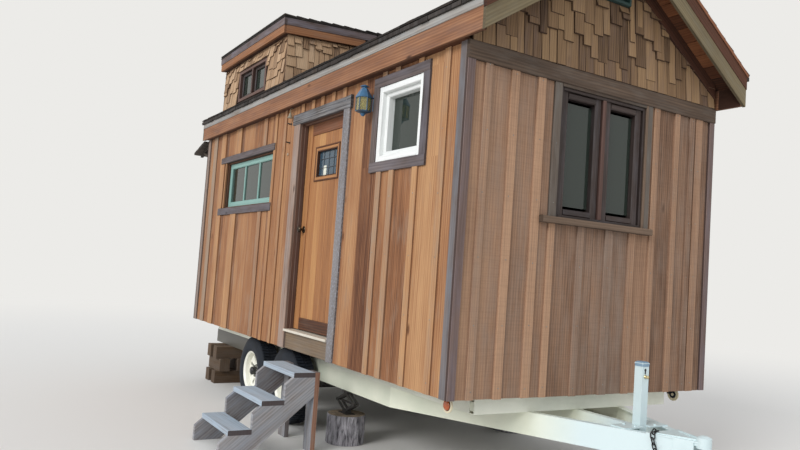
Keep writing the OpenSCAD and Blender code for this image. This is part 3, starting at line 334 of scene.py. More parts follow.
for wheel in ("front_near", "rear_near", "front_far", "rear_far"):
    middle = sum(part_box(wheel + "_tyre"), Vector()) / 2
    outward = -1 if wheel.endswith("near") else 1
    hub = [(middle[i] - corner[i]) * per_metre for i in range(3)]
    # The wheel's own frame: Z points out from the house, the tread runs round it
    stand = Matrix.Translation(middle) @ Matrix.Rotation(-outward * math.pi / 2, 4, "X")

    carcass = Pieces()
    side = [(26, 187.5), (9, 201.5), (1.5, 233.5), (0, 262), (4, 290), (5.5, 292), (5.5, 297), (8, 300),
            (17, tyre_r - 20), (26, tyre_r - 10), (34, tyre_r - 8)]
    side = [(tyre_half - inset, r) for inset, r in side] + [(44, tyre_r - 8), (43, tyre_r - 11)]
    outline = side + [(-a, r) for a, r in reversed(side)]
    turned(carcass, hub, (0, outward, 0), outline[::-1], 96, ring=True)
    carcass.build(wheel + "_carcass", rubber, wheel + "_wheel", [wheel + "_tyre"], "tyre", smooth=True)

    tread = grown(wheel + "_tread", bpy.data.meshes.new("ring"), ring_tree, ring_ports, Shape=tread_block,
                  Count=tread_count, Radius=(tyre_r - tread_inset) * mm, Turn=0.0, Finish=rubber)
    tread.data.transform(stand)
    rides(tread, wheel + "_wheel")
    nuts = grown(wheel + "_nuts", bpy.data.meshes.new("ring"), ring_tree, ring_ports, Shape=wheel_nut,
                 Count=6, Radius=nut_circle, Turn=0.3, Finish=bright_steel)
    nuts.data.transform(stand @ Matrix.Translation((0, 0, nut_seat)))
    rides(nuts, wheel + "_wheel")

    cap = Pieces()
    turned(cap, hub, (0, outward, 0), [(28, 41), (30, 42), (72, 41.2), (80, 38), (86, 31), (88, 24),
                                       (88.5, 0)], 40)
    cap.build(wheel + "_cap", black_enamel, wheel + "_wheel", smooth=True)
    finish_nodes(rim_enamel, wheel + "_rim")
for shape in (tread_block, wheel_nut):
    bpy.data.objects.remove(shape)

# Axles, springs and hangers
# Hot-rolled steel under the deck, painted black once and dulled by road dirt and rust; the jack's leg is
# plated.
black_steel = painted_steel("road_worn_black_steel", "#2a2927", "#3b3733", "#5f4632", 0.08, 0.6)
finish_nodes(black_steel, "axles", "leaf_springs", "spring_hangers", "scissor_jacks")
finish_nodes(bright_steel, "jack_leg")

# House walls and floor
# Sheathed stud walls on a joisted floor. Inside they are bare boards in shade, coloured a dark warm brown
# that is painted shade; outside the siding covers them, so what shows is that plain brown through doors and
# windows.
rng = random.Random(24)


def wood(name, dark, mid, light, grey="#8e867c", weather=0.25, saw=0.0, knots=0.6, streaks=0.75, rough=0.8,
         axes=None, contrast=1.0, dirt_and_shade=0.55, crust=None):
    """Sawn softwood: growth streaks and fibres along the grain, a slow drift of colour, knots, saw marks,
    grey weathering, darkening of the marked faces at joints, which is dirt and painted shade, and a crust of
    lichen where a colour and a size in mm are given. The grain runs along U of the grain map, or along the
    first of the named axes."""
    material, tree, shader = new_material(name)
    source = add(tree, "UVMap", uv_map="grain") if axes is None else add(tree, "TexCoord").outputs["Object"]
    split = add(tree, "SeparateXYZ", {"Vector": source}).outputs
    along, across = (split[i] for i in (axes or (0, 1))[:2])
    if axes and len(axes) == 3:
        across = add(tree, "Math", {0: across, 1: split[axes[2]]})
    board = add(tree, "Attribute", attribute_name="board")
    tone, greyness, chance = add(tree, "SeparateColor", {"Color": board}).outputs
    apart = add(tree, "Math", {0: chance, 1: 37.0}, operation="MULTIPLY")
    grain = add(tree, "CombineXYZ", {"X": along, "Y": across, "Z": apart})

    def stretched(length_mm, width_mm, detail, roughness, distortion=0.0):
        """Noise whose features are about so long and so wide on the board."""
        scaled = add(tree, "VectorMath", {0: grain, 1: (per_metre / length_mm, per_metre / width_mm, 1.0)},
                     operation="MULTIPLY")
        return add(tree, "TexNoise", {"Vector": scaled, "Scale": 1.0, "Detail": detail,
                                      "Roughness": roughness, "Distortion": distortion})

    streak = stretched(900, 16, 5.0, 0.65, 0.3)
    fibre = stretched(120, 2.6, 3.0, 0.6)
    drift = stretched(700, 130, 2.0, 0.5)
    patch = stretched(260, 60, 4.0, 0.6)
    bands = add(tree, "VectorMath", {0: grain, 1: (0.8, 9.0, 1.0)}, operation="MULTIPLY")
    rings = add(tree, "TexWave", {"Vector": bands, "Scale": 1.6, "Distortion": 5.0, "Detail": 2.0,
                                  "Detail Scale": 0.8}, bands_direction="Y")
    # The streaks, the drift and the rings are added to the board's tone, less their middle value
    drifts, ringed = 0.55, 0.16
    level = add(tree, "Math", {0: streak, 1: streaks * contrast, 2: tone}, operation="MULTIPLY_ADD")
    level = add(tree, "Math", {0: drift, 1: drifts * contrast, 2: level}, operation="MULTIPLY_ADD")
    level = add(tree, "Math", {0: rings.outputs["Fac"], 1: ringed * contrast, 2: level},
                operation="MULTIPLY_ADD")
    level = add(tree, "Math", {0: level, 1: 0.5 * (streaks + drifts + ringed) * contrast},
                operation="SUBTRACT")
    shade = add(tree, "ValToRGB", {"Fac": level}, [(0.0, dark), (0.5, mid), (1.0, light)])

    thin = add(tree, "ValToRGB", {"Fac": fibre}, [(0.36, 0.72), (0.58, 1.0)])
    lined = add(tree, "Mix", {"Factor": 0.55, "A": shade, "B": thin}, data_type="RGBA", blend_type="MULTIPLY")
    worn = add(tree, "Math", {0: patch, 1: 1.5, 2: greyness}, operation="MULTIPLY_ADD")
    worn = add(tree, "Math", {0: worn, 1: 1.02 - weather * 0.55}, operation="SUBTRACT", use_clamp=True)
    skin = add(tree, "Mix", {"Factor": worn, "A": lined, "B": grey}, data_type="RGBA")
    cells = add(tree, "VectorMath", {0: grain, 1: (3.2, 8.5, 1.0)}, operation="MULTIPLY")
    knot = add(tree, "TexVoronoi", {"Vector": cells, "Scale": 1.0, "Randomness": 0.9})
    eye = add(tree, "ValToRGB", {"Fac": knot}, [(0.07, 1.0), (0.16, 0.0)])
    pick = add(tree, "ValToRGB", {"Fac": knot.outputs["Color"]}, [(0.74, 0.0), (0.78, knots)])
    spot = add(tree, "Math", {0: eye, 1: pick}, operation="MULTIPLY")
    skin = add(tree, "Mix", {"Factor": spot, "A": skin, "B": dark}, data_type="RGBA")
    height = add(tree, "Math", {0: fibre, 1: 0.5, 2: streak}, operation="MULTIPLY_ADD")
    # Marked faces darken towards the dark colour: dirt in the joints, and painted shade on the narrow faces
    # of boards, battens and shake butts
    dirt_and_shade_mark = add(tree, "Attribute", attribute_name="dirt_and_shade_mark")
    held = add(tree, "Math", {0: dirt_and_shade_mark.outputs["Fac"], 1: dirt_and_shade}, operation="MULTIPLY")
    skin = add(tree, "Mix", {"Factor": held, "A": skin, "B": dark}, data_type="RGBA")
    if crust:
        flecks = stretched(crust[1] * 1.4, crust[1], 6.0, 0.7)
        growth = add(tree, "ValToRGB", {"Fac": flecks}, [(0.5, 0.0), (0.66, 0.8)])
        skin = add(tree, "Mix", {"Factor": growth, "A": skin, "B": crust[0]}, data_type="RGBA")
        height = add(tree, "Math", {0: growth, 1: 0.8, 2: height}, operation="MULTIPLY_ADD")
    if saw:
        teeth = stretched(9, 320, 1.0, 0.5)
        kerf = add(tree, "ValToRGB", {"Fac": teeth}, [(0.42, 0.62), (0.5, 1.0)])
        skin = add(tree, "Mix", {"Factor": saw, "A": skin, "B": kerf}, data_type="RGBA",
                   blend_type="MULTIPLY")
        height = add(tree, "Math", {0: teeth, 1: saw * 1.2, 2: height}, operation="MULTIPLY_ADD")
    bump = add(tree, "Bump", {"Height": height, "Strength": 0.55, "Distance": 0.0016})
    feed(shader, {"Base Color": skin, "Roughness": rough, "Specular IOR Level": 0.3, "Normal": bump})
    return material


# Interior sheathing: smooth brown boards, darkened as painted shade so that they stay dark behind the glass
sheathing = wood("interior_sheathing", "#3c2b1e", "#4c3828", "#5e4632", axes=(2, 0, 1), rough=0.7)
finish_nodes(sheathing, "near_wall_front", "near_wall_rear", "near_wall_over_door", "far_wall",
             "front_gable_wall", "rear_gable_wall", "dormer_front", "dormer_cheeks")
finish_nodes(wood("joisted_floor", "#4a3625", "#66503a", "#7d644a", axes=(0, 1), rough=0.75), "floor")

# Siding
# Boards and battens of red cedar, sawn rough, nailed upright to the walls. Each board has its own tone;
# battens are paler and stand over the joints, with a dark line at their edges that is painted shade on
# their narrow faces, with some dirt.
body_l, body_w = 5380, 2440
board_out, batten_out = 6, 20
# Each wall: its corner, the way along it, the way out of it, and the turn of what is fixed to its face
walls = {"door": (Vector((0, 0, 0)), Vector((1, 0, 0)), Vector((0, -1, 0)), (math.pi / 2, 0, 0)),
         "far": (Vector((0, body_w, 0)), Vector((1, 0, 0)), Vector((0, 1, 0)), (math.pi / 2, 0, math.pi)),
         "front": (Vector((0, 0, 0)), Vector((0, 1, 0)), Vector((1, 0, 0)), (math.pi / 2, 0, math.pi / 2)),
         "rear": (Vector((-body_l, 0, 0)), Vector((0, 1, 0)), Vector((-1, 0, 0)),
                  (math.pi / 2, 0, -math.pi / 2))}
sides, gables = ("door", "far"), ("front", "rear")
right, inward, upwards = (1, 0, 0), (0, 1, 0), (0, 0, 1)


def plank(pieces, start, along, across, length, width, thick, tone=0.5, grey=0.3, bevel=1.6, skew=(0, 0),
          wave=0.0, wave_sides=(0, 1), darkened=(1, 5)):
    """A board with eased edges. Start is the corner at the foot of its back; along and across are directions,
    and it thickens away from that face. Skew leans its ends, wave makes its edges run uneven. Its narrow
    faces, by default, and its ends are marked to darken: dirt and painted shade at its edges."""
    along, across, out = Vector(along).normalized(), Vector(across).normalized(), Vector(pieces.out)
    bevel = min(bevel, thick * 0.45, width * 0.2)
    section = [(0, 0), (width, 0), (width, thick - bevel), (width - bevel, thick), (bevel, thick),
               (0, thick - bevel)]
    order = -1 if along.cross(across).dot(out) < 0 else 1
    parts = max(1, int(length / 90)) if wave else 1
    swing = [[rng.uniform(-1, 1) for _ in range(parts + 1)] for _ in range(2)]
    for run in swing:
        for i in range(1, parts):
            run[i] = 0.45 * run[i] + 0.55 * run[i - 1]
    shift = (rng.uniform(0, 9), rng.uniform(0, 9))
    co, faces, maps, joints = [], [], [], []
    for i in range(parts + 1):
        t = i / parts
        for v, w in section:
            edge = 0 if v < width / 2 else 1
            v += wave * swing[edge][i] if edge in wave_sides else 0
            u = length * t + (skew[0] * (1 - t) + skew[1] * t) * v
            co.append(tuple(Vector(start) + along * u + across * v + out * w))
    reach = [0, width, width + thick, width + thick, 2 * width + thick, 2 * width + 2 * thick]
    for i in range(parts):
        u0, u1 = (length * k / parts * mm + shift[0] for k in (i, i + 1))
        for j in range(6):
            n = (j + 1) % 6
            v0, v1 = (v * mm + shift[1] for v in (reach[j], reach[j] + math.dist(section[j], section[n])))
            faces.append([i * 6 + j, i * 6 + n, i * 6 + 6 + n, i * 6 + 6 + j][::order])
            maps.append([(u0, v0), (u0, v1), (u1, v1), (u1, v0)][::order])
            joints.append(1.0 if j in darkened else 0.0)
    for face in caps(parts + 1, 6):
        faces.append(face[::order])
        maps.append([(section[i % 6][1] * mm + shift[0], section[i % 6][0] * mm + shift[1])
                     for i in face[::order]])
    pieces.take(co, faces, maps, (tone, grey, rng.random()), joints + [1.0, 1.0])


def on_wall(pieces, wall, level, height, depth, upright=None, **look):
    """A board on one of the house's walls, between limits along it, in height and out from its face. It runs
    the longer way, unless upright says so."""
    origin, side, pieces.out, _ = walls[wall]
    start = origin + side * level[0] + Vector((0, 0, height[0])) + pieces.out * depth[0]
    wide, tall, thick = level[1] - level[0], height[1] - height[0], depth[1] - depth[0]
    if upright or upright is None and tall > wide:
        plank(pieces, start, upwards, side, tall, wide, thick, **look)
    else:
        plank(pieces, start, side, upwards, wide, tall, thick, **look)


def clad(pieces, wall, level, height, depth, holes, **look):
    """An upright board cut round the openings that it meets."""
    shortest = 4
    for hole in holes:
        lo, hi, foot, head = hole
        if lo < level[1] and hi > level[0]:
            beside = (max(foot, height[0]), min(head, height[1]))
            for part, run in ((level, (height[0], foot)), (level, (head, height[1])),
                              ((level[0], lo), beside), ((hi, level[1]), beside)):
                if part[1] - part[0] > shortest and run[1] - run[0] > shortest:
                    clad(pieces, wall, part, run, depth, [h for h in holes if h != hole], **look)
            return
    on_wall(pieces, wall, level, height, depth, True, **look)


def sided(pieces, wall, boards, battens, top, holes):
    """Boards and battens on a wall: limits along it, tone and greyness of each."""
    for lo, hi, tone, grey in boards:
        clad(pieces, wall, (lo, hi), (rng.uniform(-3, 0), top), (0, board_out + rng.uniform(-1, 1)), holes,
             tone=tone, grey=grey)
    for lo, hi, tone, grey in battens:
        clad(pieces, wall, (lo, hi), (rng.uniform(-3, 0), top), (board_out - 2, batten_out), holes, tone=tone,
             grey=grey, bevel=3)


siding_top, band_z, band_h = 2239, 2121, 116
white_hole, green_hole = (-1110, -457, 1536, 2157), (-4640, -3140, 1310, 1900)
door_hole, end_hole = (-2600, -1600, 0, 2090), (770, 1665, 1180, 2121)
# A side wall's boards and battens, from the rear corner to the tongue end
side_boards = [(-5306, -5092, .55, .3), (-5089, -4780, .42, .2), (-4777, -4615, .22, .3),
               (-4612, -4275, .5, .15), (-4272, -4092, .2, .3), (-4089, -3760, .62, .2),
               (-3757, -3430, .45, .2), (-3427, -3255, .6, .15), (-3252, -3119, .35, .2),
               (-3116, -2989, .6, .1), (-2986, -2884, .5, .2), (-2881, -2781, .66, .1),
               (-2778, -2600, .55, .2), (-1600, -1498, .5, .2), (-1496, -1309, .7, .15),
               (-1306, -1020, .16, .1), (-1017, -840, .5, .2), (-837, -527, .34, .2), (-524, -249, .86, .05),
               (-246, -74, .62, .2)]
side_battens = [(-5150, -5031, .6, 1.0), (-4851, -4693, .78, .2), (-4346, -4161, .8, .2),
                (-3476, -3381, .55, .55), (-3172, -3108, .7, .25), (-2922, -2872, .72, .3),
                (-1054, -986, .72, .62), (-871, -802, .75, .55), (-560, -493, .85, .3),
                (-249, -181, .82, .35)]
middle_boards = [(-2600, -2345, .5, .2), (-2342, -2085, .35, .2), (-2082, -1830, .6, .2),
                 (-1827, -1603, .45, .2)]
middle_battens = [(-2378, -2310, .7, .4), (-2118, -2050, .75, .4), (-1862, -1794, .7, .5),
                  (-1640, -1572, .75, .4)]

# Red cedar in the sun: golden tan to red-brown, with long soft streaks
cedar = wood("sawn_red_cedar", "#583524", "#9b6b49", "#c0946a", grey="#998776", weather=0.14, knots=0.8,
             contrast=1.25)
door_wall, far_siding = Pieces(), Pieces()
sided(door_wall, "door", side_boards, side_battens, siding_top, [white_hole, green_hole, door_hole])
over_door = (2060, siding_top)
for level, tone in (((-2600, -2100), 0.35), ((-2097, -1600), 0.5)):
    on_wall(door_wall, "door", level, over_door, (0, board_out), True, tone=tone, grey=0.2)
for lo in (-2535, -2310, -2120, -1905, -1700):
    on_wall(door_wall, "door", (lo, lo + 62), over_door, (board_out - 2, batten_out), tone=0.75, bevel=3)
door_wall.build("door_wall_siding", cedar, slot="cedar_siding")
sided(far_siding, "far", side_boards + middle_boards, side_battens + middle_battens, siding_top,
      [white_hole, green_hole])
far_siding.build("far_wall_siding", cedar, slot="cedar_siding")

# Cedar in shade: duller brown-mauve with faint marks of the saw across the boards
gable_cedar = wood("saw_marked_cedar", "#513a2d", "#94735c", "#b99376", grey="#8f7d70", weather=0.2, saw=0.16,
                   knots=0.8, streaks=0.7, contrast=1.1, dirt_and_shade=0.2)
end_boards = [(36, 150, .72, .1), (153, 372, .62, .35), (375, 604, .56, .4), (607, 757, .55, .3),
              (760, 1034, .4, .3), (1037, 1170, .4, .4), (1173, 1318, .42, .45), (1321, 1586, .34, .6),
              (1589, 1806, .6, .15), (1809, 2014, .3, .2), (2017, 2190, .4, .35), (2193, 2404, .35, .3)]
end_battens = [(121, 180, .72, .4), (339, 407, .95, .05), (569, 641, .9, .1), (729, 788, .85, .1),
               (1003, 1067, .5, .6), (1278, 1359, .4, .7), (1520, 1590, .6, .25), (1745, 1806, .66, .2),
               (1985, 2043, .66, .2), (2160, 2225, .4, .4), (2240, 2323, .64, .2)]
for wall in gables:
    gable = Pieces()
    sided(gable, wall, end_boards, end_battens, band_z, [end_hole])
    gable.build(wall + "_siding", gable_cedar, slot="gable_siding")


# Trim boards
# Corner, band and casing boards of the same cedar left bare for years: silver-grey to brown, with a rough,
# wavy grain. They are nailed over the siding's ends and round each opening, a little proud of the battens.
def boarded(pieces, wall_names, rows, **look):
    """Boards on each wall. A row gives a board's limits along, up and out, its tone, greyness and more."""
    for wall in wall_names:
        for level, height, depth, tone, grey, *own in rows:
            on_wall(pieces, wall, level, height, depth, **{"tone": tone, "grey": grey, **look, **dict(*own)})
    return pieces


trim_t = 24
grey_trim = wood("weathered_grey_boards", "#352d2c", "#645854", "#8a7f7c", grey="#726e76", weather=0.25,
                 knots=0.8, streaks=1.0, contrast=1.3)
brown_trim = wood("weathered_brown_boards", "#332a24", "#5b4b3f", "#7d6857", grey="#716a63", weather=0.2,
                  knots=0.8, streaks=0.8)
mauve_trim = wood("mauve_brown_corner_boards", "#42332f", "#73605a", "#8f7a72", grey="#77707a", weather=0.2,
                  knots=0.9, streaks=0.9, dirt_and_shade=0.9)
# Boards on the side walls' corners keep more brown, with blue-grey patches that are grey weathering and a
# painted bluish highlight
strip_wood = wood("patchy_corner_boards", "#3a302c", "#6c5a50", "#8f7d72", grey="#777c84", weather=0.55,
                  knots=0.7, streaks=1.0, contrast=1.3)
corners = Pieces()
for level, tone, grey in (((-66, 0), .45, .42), ((-body_l, 74 - body_l), 1.3, .0)):
    boarded(corners, sides, [(level, (0, siding_top), (0, trim_t), tone, grey)], wave=2.0, wave_sides=(0,),
            bevel=3)
corners.build("corner_trim", strip_wood, replaces=["corner_boards"], slot="dark_trim")
boarded(Pieces(), gables, [
    ((-trim_t, 36), (0, band_z), (0, trim_t), .5, .25, {"wave_sides": (1,)}),
    ((body_w - 36, body_w + trim_t), (0, band_z), (0, trim_t), .5, .25, {"wave_sides": (0,)}),
], wave=2.0, bevel=3).build("end_corner_trim", mauve_trim, slot="dark_trim")
boarded(Pieces(), gables, [
    ((-trim_t, body_w + trim_t), (band_z, band_z + band_h), (0, 30), .5, .22),
], wave=3.0, bevel=3).build("band_trim", brown_trim, replaces=["band_boards"], slot="dark_trim")
boarded(Pieces(), sides, [
    ((-1161, -406), (2132, 2208), (0, trim_t), .5, .4, {"wave": 2.0}),
    ((-1161, -406), (1485, 1561), (0, trim_t), .4, .45, {"wave": 3.0}),
    ((-1161, -1085), (1561, 2132), (0, trim_t), .5, .2),
    ((-482, -406), (1561, 2132), (0, trim_t), .3, .5, {"wave": 2.0}),
    ((-4785, -3113), (1880, 1950), (0, 30), .45, .35, {"wave": 3.0}),
    ((-4780, -3117), (1272, 1350), (0, 28), .35, .5, {"wave": 3.0}),
], bevel=3).build("window_trim", grey_trim, replaces=["window_casings"], slot="dark_trim")
boarded(Pieces(), sides, [((lo, lo + 24), (1350, 1880), (0, 20), .8, .2) for lo in (-4639, -3163)]
        ).build("slim_window_casings", cedar, slot="cedar_siding")
boarded(Pieces(), gables, [
    ((722, 790), (1200, band_z), (0, 20.8), .5, .8, {"wave": 1.5, "bevel": 3}),
    ((1669, 1722), (1200, band_z), (0, 20.8), .4, .8, {"wave": 1.5, "bevel": 3}),
    ((1645, 1669), (1200, band_z), (0, trim_t), .95, .0, {"wave": 1.5, "bevel": 3}),
    ((790, 1645), (2100, band_z), (0, trim_t), .3, .3),
    ((640, 1730), (1155, 1200), (0, 60), .8, .0, {"wave": 2.0, "bevel": 5}),
]).build("end_window_trim", brown_trim, slot="dark_trim")

# Wall shakes
# Split cedar shakes over the band boards and on the dormer, laid in staggered rows with random butts. A
# node tree sets one tapered shake on every place and gives each its tone; shingles use it again below.
# The shake's butt and sides are marked to darken: dirt and painted shade, the dark line under each butt
tapered = Pieces()
tapered.take([(-0.5, 0, 0.42), (0.5, 0, 0.42), (0.5, 0, 0.94), (0.46, 0.01, 1), (-0.46, 0.01, 1),
              (-0.5, 0, 0.94),
              (-0.5, 1, 0), (0.5, 1, 0), (0.5, 1, 0.1), (0.46, 1, 0.16), (-0.46, 1, 0.16), (-0.5, 1, 0.1)],
             [[0, 1, 2, 3, 4, 5], [11, 10, 9, 8, 7, 6], [0, 6, 7, 1], [1, 7, 8, 2], [2, 8, 9, 3],
              [3, 9, 10, 4], [4, 10, 11, 5], [5, 11, 6, 0]], joints=[1.0, 0.0, 0.0, 1.0, 0.5, 0.0, 0.5, 1.0])
shake_shape = template("split_shake", tapered)
shake_shape.data.transform(Matrix.Scale(per_metre, 4))

# A shape on each point, sized and turned by the point, and a tone and greyness for each copy
courses, course_ports, given = new_group("lay_in_courses", Geometry="Geometry", Shape="Object", Sway="Float",
                                         Darkest="Float", Lightest="Float", Greyest="Float", Seed="Int",
                                         Finish="Material")
shape = add(courses, "GeometryNodeObjectInfo", {"Object": given["Shape"]})
size = add(courses, "GeometryNodeInputNamedAttribute", {"Name": "size"}, data_type="FLOAT_VECTOR")
turn = add(courses, "GeometryNodeInputNamedAttribute", {"Name": "turn"}, data_type="FLOAT_VECTOR")
copies = add(courses, "GeometryNodeInstanceOnPoints", {
    "Points": given["Geometry"], "Instance": shape.outputs["Geometry"], "Rotation": turn, "Scale": size})
back = add(courses, "Math", {0: given["Sway"], 1: -1.0}, operation="MULTIPLY")
sway = add(courses, "FunctionNodeRandomValue", {"Min": back, "Max": given["Sway"], "Seed": given["Seed"]},
           data_type="FLOAT")
lean = add(courses, "CombineXYZ", {"Z": sway})
leaned = add(courses, "GeometryNodeRotateInstances", {"Instances": copies, "Rotation": lean})
tone = add(courses, "FunctionNodeRandomValue", {"Min": given["Darkest"], "Max": given["Lightest"],
                                                "Seed": given["Seed"]}, data_type="FLOAT")
other = add(courses, "Math", {0: given["Seed"], 1: 5.0}, operation="ADD")
grey = add(courses, "FunctionNodeRandomValue", {"Min": 0.0, "Max": given["Greyest"], "Seed": other},
           data_type="FLOAT")
third = add(courses, "Math", {0: given["Seed"], 1: 9.0}, operation="ADD")
chance = add(courses, "FunctionNodeRandomValue", {"Min": 0.0, "Max": 1.0, "Seed": third}, data_type="FLOAT")
look = add(courses, "FunctionNodeCombineColor", {"Red": tone, "Green": grey, "Blue": chance})
toned = add(courses, "GeometryNodeStoreNamedAttribute", {"Geometry": leaned, "Name": "board", "Value": look},
            data_type="FLOAT_COLOR", domain="INSTANCE")
end_group(courses, toned, given["Finish"])


def laid(name, places, shape, material, replaces=(), sway=0.0, darkest=0.2, lightest=0.8,
         greyest=0.4, seed=1):
    """Runs that tree on places, each (point in mm, turn, size in mm); the house carries the result."""
    mesh = bpy.data.meshes.new(name)
    mesh.from_pydata(to_row([p[0] for p in places]).tolist(), [], [])
    for label, column, scale in (("turn", 1, 1.0), ("size", 2, mm)):
        values = np.array([p[column] for p in places], np.float32) * scale
        mesh.attributes.new(label, "FLOAT_VECTOR", "POINT").data.foreach_set("vector", values.ravel())
    rides(grown(name, mesh, courses, course_ports, Shape=shape, Sway=sway, Darkest=darkest, Lightest=lightest,
                Greyest=greyest, Seed=seed, Finish=material), "house", replaces)


slope = 2 / 3
pitch = math.atan(slope)
wall_h = 2435
roof_tv = 74 / math.cos(pitch)


def roof_under(y):
    """Height of the roof's underside over a distance from the door wall."""
    return wall_h + slope * min(y, body_w - y)


def shake_rows(wall, level, foot, top, row, holes):
    """Places for shakes on a wall: rows of random widths whose butts sit high and low, cut round holes."""
    origin, side, out, turn = walls[wall]
    thick, gap, shortest = 34, 2, 18
    places = []
    for i in range(20):
        at = level[0]
        while at < level[1] - 20:
            wide = min(rng.uniform(50, 125), level[1] - at)
            middle = at + wide / 2
            butt = foot(middle) + i * row + (0 if i == 0 else rng.uniform(-0.6, 0.6) * row)
            end = min(butt + rng.uniform(1.9, 2.4) * row, top(middle))
            at += wide + gap
            for lo, hi, low, high in holes:
                if lo < middle + wide / 2 and hi > middle - wide / 2 and end > low and butt < high:
                    if butt < low - 30:
                        end = low
                    else:
                        butt = max(butt, high)
            if end - butt >= shortest:
                point = origin + side * middle + Vector((0, 0, butt))
                places.append((tuple(point), turn, (wide - 1, end - butt, thick * rng.uniform(0.8, 1.0))))
    return places


# Cedar split by hand: honey brown, some boards dark, with straight fibres and butts darkened by painted shade
gable_shakes = wood("split_cedar_shakes", "#3c2b21", "#866a4e", "#a88965", grey="#75625a", weather=0.25,
                    axes=(2, 0, 1), knots=0.3, streaks=0.6, dirt_and_shade=0.85)
dormer_shakes = wood("sunlit_cedar_shakes", "#4e3729", "#b08f6f", "#cfb190", grey="#a18f80", weather=0.15,
                     axes=(2, 0, 1), knots=0.2, streaks=0.5, dirt_and_shade=0.8)
vent = (1022, 1418, 2806, 2970)
for wall, seed in (("front", 3), ("rear", 8)):
    rows = shake_rows(wall, (0, body_w), lambda y: band_z + band_h, lambda y: roof_under(y) + 40, 185, [vent])
    laid(wall + "_shakes", rows, shake_shape, gable_shakes, sway=0.012, darkest=0.15,
         greyest=0.35, seed=seed)

# The dormer: its ends, where its roof meets the main one, and that roof's fall and height
dormer_x, dormer_meets, dormer_slope, dormer_h = (-4920, -3040), 1085.8, 0.05505, 3036
dormer_row, dormer_cheek = 125, (-18, 880)
rows = shake_rows("door", dormer_x, lambda x: roof_under(0) + roof_tv + 20, lambda x: dormer_h - 4,
                  dormer_row, [(-4425, -3585, 2572, 2926)])
for offset, wall in ((dormer_x[1], "front"), (dormer_x[0] + body_l, "rear")):
    rows += [((p[0][0] + offset, p[0][1], p[0][2]), p[1], p[2]) for p in shake_rows(
        wall, dormer_cheek, lambda y: roof_under(y) + roof_tv + 20, lambda y: dormer_h + dormer_slope * y - 4,
        dormer_row, [])]
laid("dormer_shakes", rows, shake_shape, dormer_shakes, sway=0.012, lightest=0.85,
     greyest=0.25, seed=5)

# Roof boards, soffits, fascias and rakes
# Spruce roof boards on rafters, closed with a cedar soffit at the eaves; fascias and rakes of wide boards
# with a second, narrower board over their upper edge.
finish_nodes(wood("oiled_soffit_boards", "#3a2318", "#683f2a", "#8b5a3b", grey="#5c4a40", weather=0.05,
                  axes=(0, 1, 2), knots=0.4), "near_roof", "far_roof", "dormer_roof")
# Each slope: its wall's Y, its side's sign, the ways up and out of it, and the turn of what lies on it
slopes = [(wall_y, sign, Vector((0, sign * math.cos(pitch), math.sin(pitch))),
           Vector((0, -sign * math.sin(pitch), math.cos(pitch))), (pitch, 0, turn))
          for wall_y, sign, turn in ((0, 1, 0), (body_w, -1, math.pi))]
soffit_out, fascia_out = 57, 82
fascia_top = wall_h - fascia_out * slope + roof_tv
soffit = Pieces()
run = (body_w / 2 + soffit_out) / math.cos(pitch)
for wall_y, sign, up, normal, _ in slopes:
    soffit.out = -normal
    for x0, x1 in ((32, 220), (-body_l - 65, -body_l - 32)):
        at = 0
        while at < run - 5:
            wide = min(rng.uniform(115, 150), run - at)
            start = Vector((x0, wall_y - sign * soffit_out, wall_h - soffit_out * slope)) + up * at
            plank(soffit, start, right, up, x1 - x0, wide - 3, 6 + rng.uniform(-1, 1),
                  tone=rng.uniform(0.0, 0.95), grey=0.1)
            at += wide
for wall in sides:
    for level in ((-5380, -3400), (-3397, -1500), (-1497, 0)):
        on_wall(soffit, wall, level, (siding_top, siding_top + 20), (0, soffit_out),
                tone=rng.uniform(0.2, 0.5), grey=0.2)
    # Boards closing the eave box beyond each gable, toned below the darkest: painted shade inside the box
    for level in ((32, 218), (-body_l - 63, -body_l - 32)):
        on_wall(soffit, wall, level, (siding_top + 2, fascia_top - 20), (49, 56), False, tone=-0.5, grey=0.0)
soffit.build("soffit_boards", wood("soffit_boards_on_grain", "#3a2318", "#6f432b", "#8f5c3b", grey="#5c4a40",
                                   weather=0.05, knots=0.4), slot="roof_boards")

# Red-brown boards, blotched dark by rain, under a paler greyed upper board
fascia_wood = wood("rain_blotched_fascia", "#442c22", "#8f6348", "#b98a66", grey="#6f5750", weather=0.3,
                   knots=0.9, streaks=0.45, contrast=1.3)
upper_wood = wood("greyed_upper_boards", "#4e4640", "#8f867d", "#b5aea4", grey="#a2a6a8", weather=0.4,
                  knots=0.4, streaks=1.1, contrast=1.3, dirt_and_shade=0.2)
lower, upper = Pieces(), Pieces()
for wall in sides:
    boarded(lower, [wall], [(level, (siding_top, fascia_top - 4), (57, 82), .55, .2)
                            for level in ((-5445, -3190), (-3188, 220))],
            bevel=2.5, wave=1.0, wave_sides=(0,))
    boarded(upper, [wall], [(level, (fascia_top - 84, fascia_top - 26), (63, 88), tone, .35)
                            for level, tone in (((-5445, -2450), .5), ((-2447, 220), .6))], bevel=2.5)


def raked(pieces, slope_row, out, x, overhang, foot, tall, thick, **look):
    """A board up one slope of a gable end, its ends cut plumb."""
    wall_y, sign, up, normal, _ = slope_row
    pieces.out = (out, 0, 0)
    plank(pieces, (x, wall_y - sign * overhang, foot), up, normal, (body_w / 2 + overhang) / math.cos(pitch),
          tall, thick, skew=(slope, slope), **look)


rakes, rake_bands, edgings = Pieces(), Pieces(), Pieces()
for x, out in ((245, 1), (-body_l - 90, -1)):
    for slope_row in slopes:
        raked(rakes, slope_row, out, x - out * 25, fascia_out, fascia_top - 235, 140 * math.cos(pitch), 25,
              tone=0.55, grey=0.2, bevel=2.5)
        raked(rake_bands, slope_row, out, x - out * 25, fascia_out, fascia_top - 100, 98 * math.cos(pitch),
              31, tone=0.5, grey=0.2, bevel=2.5)
